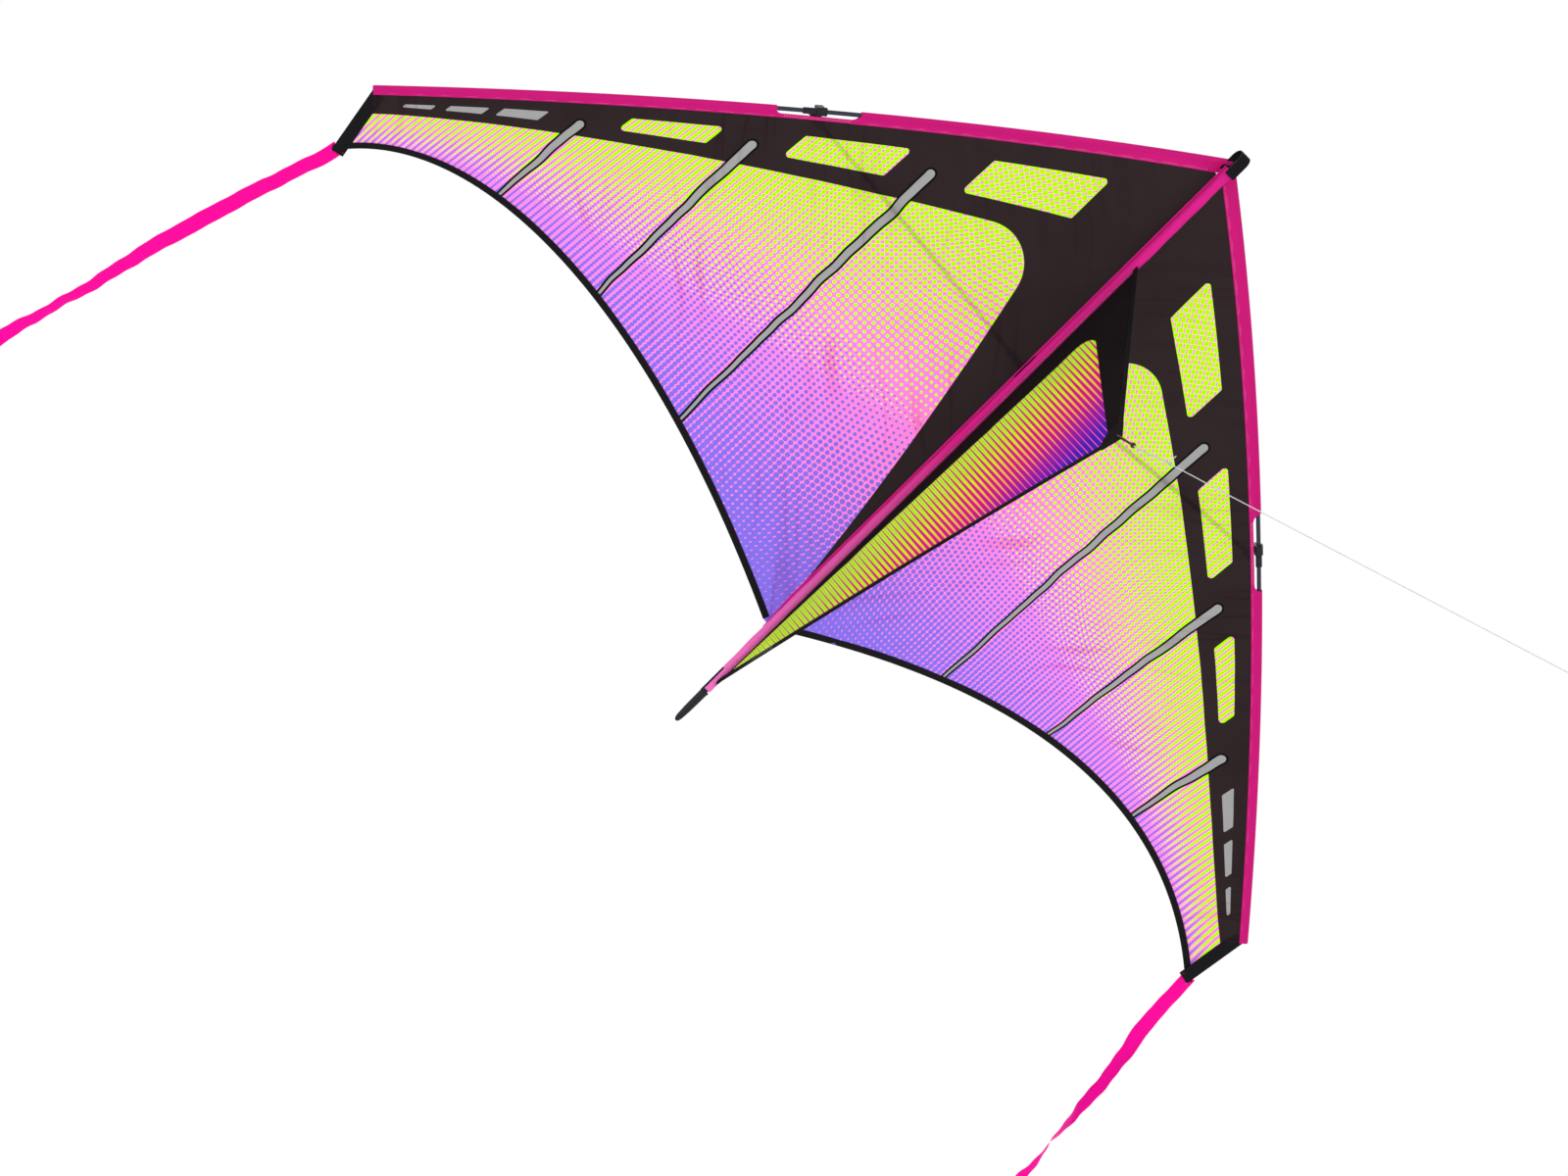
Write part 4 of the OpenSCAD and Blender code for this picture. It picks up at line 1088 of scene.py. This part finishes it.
def tip_tape(side, name):
    """Webbing folded over the wingtip, from the leading edge to the rear corner."""
    front = edge(1) + edge_frame(1.0)[1] * (SLEEVE_TIP_DEPTH - 0.004)
    k = np.linspace(-0.02, 0.975, 40)[:, None]
    path = front + (TIP_CORNER + np.array([0, -0.001, 0]) - front) * k
    inward = np.broadcast_to(unit(np.array([-TIP_BAND_W, 0.004, 0.0015])), path.shape)
    piece = binding(Piece(side), path, inward, TIP_BAND_W, 0.0022, (0.002, 0.0128))
    return piece.make(name, [TAPE, BLACK_THREAD])


for wing, side in WINGS.items():
    for make, name, node, slot in (
            (leading_edge_sleeve, "leading_edge_sleeve_cloth", "leading_edge_sleeve", "sleeve_cloth"),
            (trailing_binding, "trailing_edge_tape", "trailing_edge_binding", "black_webbing"),
            (tip_tape, "wingtip_tape", "tip_webbing", "black_webbing")):
        made = make(side, f"{wing}_{name}")
        if make is leading_edge_sleeve:
            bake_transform(made)
        else:
            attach(made, f"{wing}_wing")
        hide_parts(f"{wing}_{node}")

# ---- Spine -----------------------------------------------------------------------------------------


def spine_line(start, end, step=0.003):
    """Points along the spine's axis between two places along Y, going back."""
    y = np.linspace(start, end, max(2, int(abs(end - start) / step)))
    return np.stack([np.zeros_like(y), y, np.full_like(y, SPINE_Z)], -1)


OPENING_LOW, OPENING_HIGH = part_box("centre_fitting")


def spine_sleeve():
    """Pink sleeve round the spine, a little flat where the keel is sewn on, open at the centre fitting."""
    piece = Piece()
    line = spine_line(NOSE_Y + 0.002, SLEEVE_END_Y)
    y = line[:, 1]
    angle = np.linspace(0, math.tau, 48, endpoint=False)
    puff = 0.00018 * np.sin(y / 0.0062)[:, None] + 0.00012 * np.sin(y / 0.0105 + 1)[:,
                                                                                    None] * np.cos(3 * angle)
    sail_end = NOSE_Y - ROOT_CHORD - 0.006
    slim = 1 - 0.15 * np.clip((sail_end - y) / (sail_end - SLEEVE_END_Y), 0, 1)[:, None] ** 1.3
    radius = (SPINE_SLEEVE_R - 0.0002 + puff) * slim
    x, z = radius * np.sin(angle), -radius * np.cos(angle)
    z = np.where(z < -0.0052 * slim, -0.0052 * slim + (z + 0.0052 * slim) * 0.55, z)
    middle_y = (OPENING_LOW.y + OPENING_HIGH.y) / 2
    gap = np.clip(1 - np.abs((y - middle_y) / 0.017), 0, 1)[:, None] ** 0.35
    opened = np.where(z > 0, z * (1 - gap) + gap * 0.0002, z)
    widened = np.where((z > 0) & (np.abs(x) < 0.0056),
                       np.sign(x + 1e-9) * (np.abs(x) * (1 - gap) + 0.0056 * gap), x)
    p = np.stack([widened, np.broadcast_to(y[:, None], x.shape), SPINE_Z + opened], -1)
    turn = np.linspace(0, math.tau * SPINE_SLEEVE_R, 49)
    uv = np.stack(np.broadcast_arrays(turn[None], (NOSE_Y - y)[:, None]), -1)
    piece.grid(p, uv, wrap=True, flip=True)
    for start, end in ((NOSE_Y + 0.002, OPENING_HIGH.y + 0.004), (OPENING_LOW.y - 0.004, sail_end)):
        seam = spine_line(start, end, 0.006) + np.array([0, 0, ROOT_LIFT - 0.0009])
        narrowing = np.clip((sail_end + 0.05 - seam[:, 1]) / 0.05, 0, 1)
        strap(piece, seam, (1, 0, 0), 0.0132 - 0.0052 * narrowing, 0.0011)
        for x_at in (-0.0045, 0.0045):
            row = seam + np.array([x_at, 0, 0.0016])
            stitches(piece, row, (0, 0, 1), finish=1)
    beside = spine_line(OPENING_HIGH.y + 0.006, OPENING_LOW.y - 0.006) + np.array([0, 0, ROOT_LIFT - 0.0009])
    for x_at in (-0.0057, 0.0057):
        strap(piece, beside + np.array([x_at, 0, 0]), (1, 0, 0), 0.0018, 0.0010)
    slit = spine_line(SLEEVE_END_Y + 0.031, SLEEVE_END_Y - 0.003, 0.002)
    strap(piece, slit + np.array([0.0052, 0, -0.0013]), (0.25, 0, 0.97), 0.0028, 0.0009, finish=2)
    for x_at in (-0.0009, 0.0009):
        row = spine_line(KEEL_HIGH.y, SLEEVE_END_Y + 0.012, 0.006)
        z_at = -0.0052 - (math.sqrt(SPINE_SLEEVE_R ** 2 - x_at ** 2) - 0.0052) * 0.55 - 0.0002
        stitches(piece, row + np.array([x_at, 0, z_at]), (0, 0, -1), finish=1)
    return piece.make("spine_sleeve_cloth", [SPINE_CLOTH, THREAD, TAPE])


def nose_strap():
    """Webbing folded round the nose: a U seen from the side, its two ends stitched across."""
    bottom, top, front, rear, thick = SPINE_SLEEVE_R + 0.0011, 0.0118, 0.0165, 0.004, 0.0014
    half, middle = (bottom + top) / 2, (top - bottom) / 2
    a = np.linspace(-math.pi / 2, math.pi / 2, 24)
    low = np.stack([np.linspace(-rear, front, 14), np.full(14, -bottom)], -1)
    bow = np.stack([front + half * np.cos(a), middle + half * np.sin(a)], -1)[1:-1]
    high = np.stack([np.linspace(front, -rear, 14), np.full(14, top)], -1)
    section = np.vstack([low, bow, high])
    path = np.stack([np.zeros(len(section)), NOSE_Y + section[:, 0], SPINE_Z + section[:, 1]], -1)
    piece = strap(Piece(), path, (1, 0, 0), 2 * SPINE_SLEEVE_R + 0.0022, thick)
    for sign, face in ((-1, -bottom - thick / 2), (1, top + thick / 2)):
        for y_at in (-0.0022, 0.0005):
            x = np.linspace(-0.0062, 0.0062, 12)
            row = np.stack([x, np.full(12, NOSE_Y + y_at), np.full(12, SPINE_Z + face)], -1)
            stitches(piece, row, (0, 0, sign), finish=1)
    return piece.make("nose_strap", [TAPE, BLACK_THREAD])


def turned(piece, start, way, profile, sides=32, normal=(0, 0, 1), finish=0):
    """A turned form: radii at distances along an axis, swept round it; both ends are closed."""
    profile = np.asarray(profile, float)
    path = np.asarray(start, float) + unit(np.asarray(way, float)) * profile[:, :1]
    path = path + unit(np.asarray(way, float)) * (np.arange(len(path)) * 1e-7)[:, None]
    return tube(piece, path, np.maximum(profile[:, 1], 1e-5), sides, normal, finish)


def tail_cap():
    """Dipped vinyl cap: a rolled lip, a straight skirt and a rounded end."""
    low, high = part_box("spine_tail_cap")
    r, long = 0.0047, high.y - low.y
    lip = [(0, 0.0030), (0.0001, 0.0049), (0.0005, 0.0053), (0.0015, 0.0053), (0.0022, 0.0051),
           (0.0034, 0.0048)]
    t = np.linspace(0, math.pi / 2, 12)
    skirt = [(0.010, r * 1.01), (0.020, r * 0.99), (0.028, r * 0.96), (long - 0.011, r * 0.86)]
    end = [(long - 0.0095 + 0.0094 * math.sin(a), r * 0.84 * math.cos(a) ** 0.8) for a in t[1:-1]]
    profile = lip + skirt + end + [(long - 0.0001, 0.0003)]
    return turned(Piece(), (0, high.y, SPINE_Z), (0, -1, 0), profile).make("tail_end_cap", [VINYL])


def rod(side, name, path, radius, chamfer=0.0004):
    """A rod along a path, its two ends chamfered."""
    return tube(Piece(side), path, radius, sides=24, normal=(0, 0, 1), bevel=chamfer).make(name, [CARBON])


for made, node, slot in ((spine_sleeve(), "spine_sleeve", "sleeve_cloth"),
                         (nose_strap(), "nose_webbing", "black_webbing"),
                         (tail_cap(), "spine_tail_cap", "cap_vinyl")):
    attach(made, "spine")
    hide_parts(node)

# ---- Keel ------------------------------------------------------------------------------------------

KEEL_TOP = KEEL_HIGH.z
KEEL_NOSE = np.array([0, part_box("keel_edge_tape")[1].y, KEEL_TOP])
KEEL_END = np.array([0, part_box("keel_edge_tape")[0].y, KEEL_TOP])
KEEL_CORNER = np.array([0, 0, 0.002])
KEEL_HOLLOW = 0.006
KEEL_ROOT_Z = SPINE_Z - SPINE_SLEEVE_R + 0.0012


def keel_rear(s):
    """The keel's long rear edge: a straight line from corner to tail, bowed up a little."""
    s = np.asarray(s, float)[..., None]
    return KEEL_CORNER + (KEEL_END - KEEL_CORNER) * s + np.array([0, 0, 4 * KEEL_HOLLOW]) * s * (1 - s)


def keel_floor(y):
    """Height of the keel's free edge at a place along Y."""
    rear = keel_rear(np.linspace(0, 1, 200))
    low = np.interp(y, rear[::-1, 1], rear[::-1, 2])
    return np.where(y > 0, KEEL_CORNER[2] + (KEEL_TOP - KEEL_CORNER[2]) * y / KEEL_NOSE[1], low)


def keel_cloth():
    """The keel: straight lines from the spine down to its free edge, with a slight belly and soft folds."""
    y = np.concatenate([np.linspace(KEEL_NOSE[1], 0, 61)[:-1], np.linspace(0, KEEL_END[1], 161)])[:, None]
    v = np.linspace(0, 1, 61)[None]
    floor = keel_floor(y)
    z = KEEL_ROOT_Z + (floor - KEEL_ROOT_Z) * v
    held = np.sin(math.pi * v) * np.clip((KEEL_ROOT_Z - floor) / 0.12, 0, 1)
    r = np.random.default_rng(11)
    x = 0.0022 * held
    for _ in range(16):
        cy, cz, width, reach = (r.uniform(-0.40, 0.08), r.uniform(0.08, 0.26), r.uniform(0.006, 0.014),
                                r.uniform(0.04, 0.11))
        angle, height = r.normal(0.35, 0.4), r.uniform(-1, 1) * width * 0.07
        along = (y - cy) * math.cos(angle) + (z - cz) * math.sin(angle)
        across = (z - cz) * math.cos(angle) - (y - cy) * math.sin(angle)
        x = x + height * np.exp(-(across / width) ** 2 - (along / reach) ** 2) * np.clip(held * 3, 0, 1)
    x = x - 0.0026 * np.clip(1 - (KEEL_ROOT_Z - z) / 0.012, 0, 1) ** 2
    p = np.stack(np.broadcast_arrays(x, y, z), -1)
    flat = np.stack(np.broadcast_arrays(y - NOSE_Y, z - SPINE_Z), -1)
    front_way = unit(KEEL_NOSE - KEEL_CORNER)
    front_in = np.array([0, -front_way[2], front_way[1]])
    near = (p - KEEL_CORNER) @ front_in - 0.012
    share = np.clip((KEEL_TOP - z) / np.maximum(KEEL_TOP - floor, 0.004), 0, 1)
    return Piece().grid(p, flat, np.stack([near, share], -1)).make("keel_cloth", [KEEL],
                                                                   maps=("print", "chord"))


def keel_tape():
    """Tape folded over the keel's two free edges, a run on each side of the corner."""
    piece = Piece()
    front = KEEL_CORNER + (KEEL_NOSE - KEEL_CORNER) * np.linspace(0, 1, 80)[:, None]
    rear = keel_rear(np.linspace(0, 0.995, 160))
    for path in (front, rear):
        along = unit(np.gradient(path, axis=0))
        inward = np.cross(along, [1.0, 0, 0])
        inward = inward * np.sign(inward[:, 2:3] + 1e-9)
        binding(piece, path, inward, KEEL_TAPE_W, 0.0013, (0.0016,))
    return piece.make("keel_edge_binding", [TAPE, BLACK_THREAD])


def corner_patch():
    """Webbing patch on the keel's corner: rings from the eyelet out to its edge, over one face and back."""
    centre = np.array([-0.0015, 0.009])
    reach, thick, hole = 0.026, 0.0024, 0.0022
    angle = np.linspace(0, math.tau, 96, endpoint=False)
    way = np.stack([np.cos(angle), np.sin(angle)], -1)
    front_way, rear_way = unit(KEEL_NOSE - KEEL_CORNER)[1:], unit(KEEL_END - KEEL_CORNER)[1:]
    corner = KEEL_CORNER[1:]
    limit = np.full(len(angle), reach)
    for edge_way, sign in ((front_way, 1), (rear_way, -1)):
        normal = sign * np.array([-edge_way[1], edge_way[0]])
        room = (centre - corner) @ normal + 0.0005
        facing = -(way @ normal)
        limit = np.minimum(limit, np.where(facing > 1e-3, room / np.maximum(facing, 1e-3), reach))
    t = np.concatenate([np.linspace(0, 1, 14), np.linspace(1, 0, 14)])
    up = np.concatenate([np.ones(14), -np.ones(14)])
    edge_round = np.sqrt(np.clip(1 - (2 * t - 1) ** 12, 0, 1))
    radius = hole + (limit[:, None] - hole) * t
    p = np.stack([np.broadcast_to(up * edge_round * thick / 2, radius.shape),
                  centre[0] + radius * way[:, :1], centre[1] + radius * way[:, 1:]], -1)
    uv = np.concatenate([p[..., 1:], p[:, :1, 1:]], axis=1)
    p = np.concatenate([p, p[:1]])
    uv = np.concatenate([uv, uv[:1]])
    piece = Piece().grid(p, uv, wrap=True, flip=True)
    for sign in (-1, 1):
        for inset in (0.0022, 0.0045):
            line = np.stack([np.full(len(angle), sign * thick / 2), centre[0] + (limit - inset) * way[:, 0],
                             centre[1] + (limit - inset) * way[:, 1]], -1)
            stitches(piece, line, (sign, 0, 0), finish=1)
    return piece.make("tow_corner_patch", [TAPE, BLACK_THREAD])


cloth = keel_cloth()
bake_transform(cloth)
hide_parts("keel_panel")
for made, node in ((keel_tape(), "keel_edge_tape"), (corner_patch(), "tow_patch")):
    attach(made, "keel")
    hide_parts(node)

# ---- Rods, caps and fittings -----------------------------------------------------------------------

def flexible_tube(side, name):
    """Flexible tube from the centre fitting over the spreader's inner end: a bore inside an outer skin."""
    way = unit(ROD_OUT - ROD_IN)
    start = np.array([0.0004, NOSE_Y - 0.315, SPINE_Z + 0.024])
    path = smooth_path([start, start + [0.0051, 0, 0], ROD_IN - way * 0.0025, ROD_IN + way * 0.003,
                        ROD_IN + way * 0.010, ROD_IN + way * 0.018], 0.0008)
    _, wide, up = carried(path, (0, 0, 1))
    angle = np.linspace(0, math.tau, 28, endpoint=False)
    ring = np.cos(angle)[None, :, None] * wide[:, None] + np.sin(angle)[None, :, None] * up[:, None]
    outer = np.full(len(path), SPREADER_R + 0.0016)
    outer[-2:] -= (0.0001, 0.0005)
    rows = np.concatenate([path[:, None] + ring * outer[:, None, None],
                           (path[:, None] + ring * (SPREADER_R + 0.0002))[::-1]])
    return Piece(side).grid(rows, wrap=True).make(name, [SOFT_TUBE])


for wing, side in WINGS.items():
    made = flexible_tube(side, f"{wing}_flexible_tube")
    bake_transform(made)
    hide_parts(f"{wing}_centre_tube")
    made = rod(side, f"{wing}_spreader_bar", ROD_IN + (ROD_OUT - ROD_IN) * np.linspace(0, 1, 30)[:, None],
               SPREADER_R)
    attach(made, f"{wing}_wing")
    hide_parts(f"{wing}_spreader_rod")
    for part, radius in (("inner", EDGE_SPAR_R), ("outer", TIP_SPAR_R)):
        low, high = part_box(f"right_{part}_spar")
        across = radius * 0.61
        u = np.linspace(low.x + across, high.x - across, 90) / HALF_SPAN
        made = rod(side, f"{wing}_{part}_spar_rod", edge(u), radius)
        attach(made, f"{wing}_wing")
        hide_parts(f"{wing}_{part}_spar")

CAD_LOOKS = {
    "spine_ferrule": METAL, "spine_nose_cap": VINYL, "centre_fitting": MOULDED,
    "right_nose_end_cap": VINYL, "left_nose_end_cap": VINYL, "right_tip_cap": VINYL, "left_tip_cap": VINYL,
    "right_spreader_fitting": MOULDED, "left_spreader_fitting": MOULDED,
    "right_fitting_stop": VINYL, "left_fitting_stop": VINYL,
    "right_spreader_end_cap": VINYL, "left_spreader_end_cap": VINYL,
    "spine_front_rod": SPINE_ROD, "spine_rear_rod": SPINE_ROD, "right_spar_ferrule": METAL,
    "left_spar_ferrule": METAL}
for node, finish in CAD_LOOKS.items():
    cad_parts[node].data.materials.clear()
    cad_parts[node].data.materials.append(finish)

# ---- Floor and light -------------------------------------------------------------------------------


def studio():
    """A pale floor far below, an even white surround and one soft sun above the sail."""
    piece = Piece()
    x = np.linspace(-90, 90, 3)
    piece.grid(np.stack([*np.meshgrid(x, x, indexing="ij"), np.full((3, 3), -32.0)], -1))
    pale, tree, shader = finish_of("pale_floor", 0.9)
    shader.inputs["Base Color"].default_value = (0.82, 0.82, 0.82, 1)
    floor = piece.make("floor", [pale])
    world = bpy.data.worlds.new("studio")
    bpy.context.scene.world = world
    world.use_nodes = True
    tree = world.node_tree
    light, seen = tree.nodes["Background"], tree.nodes.new("ShaderNodeBackground")
    light.inputs[0].default_value, light.inputs[1].default_value = (1, 1, 1, 1), 0.74
    seen.inputs[0].default_value, seen.inputs[1].default_value = (1, 1, 1, 1), 1.0
    path, mix = tree.nodes.new("ShaderNodeLightPath"), tree.nodes.new("ShaderNodeMixShader")
    tree.links.new(path.outputs["Is Camera Ray"], mix.inputs[0])
    tree.links.new(light.outputs[0], mix.inputs[1])
    tree.links.new(seen.outputs[0], mix.inputs[2])
    tree.links.new(mix.outputs[0], tree.nodes["World Output"].inputs[0])
    for name, strength, spread, turn in (("sun", 2.6, 1.4, (-14, 10, 0)), ("fill", 1.0, 40, (0, 111, 0))):
        lamp = bpy.data.lights.new(name, "SUN")
        lamp.energy, lamp.angle = strength, math.radians(spread)
        light = bpy.data.objects.new(name, lamp)
        light.rotation_euler = [math.radians(a) for a in turn]
        bpy.context.scene.collection.objects.link(light)
    bpy.context.scene.view_settings.view_transform = "Standard"


studio()
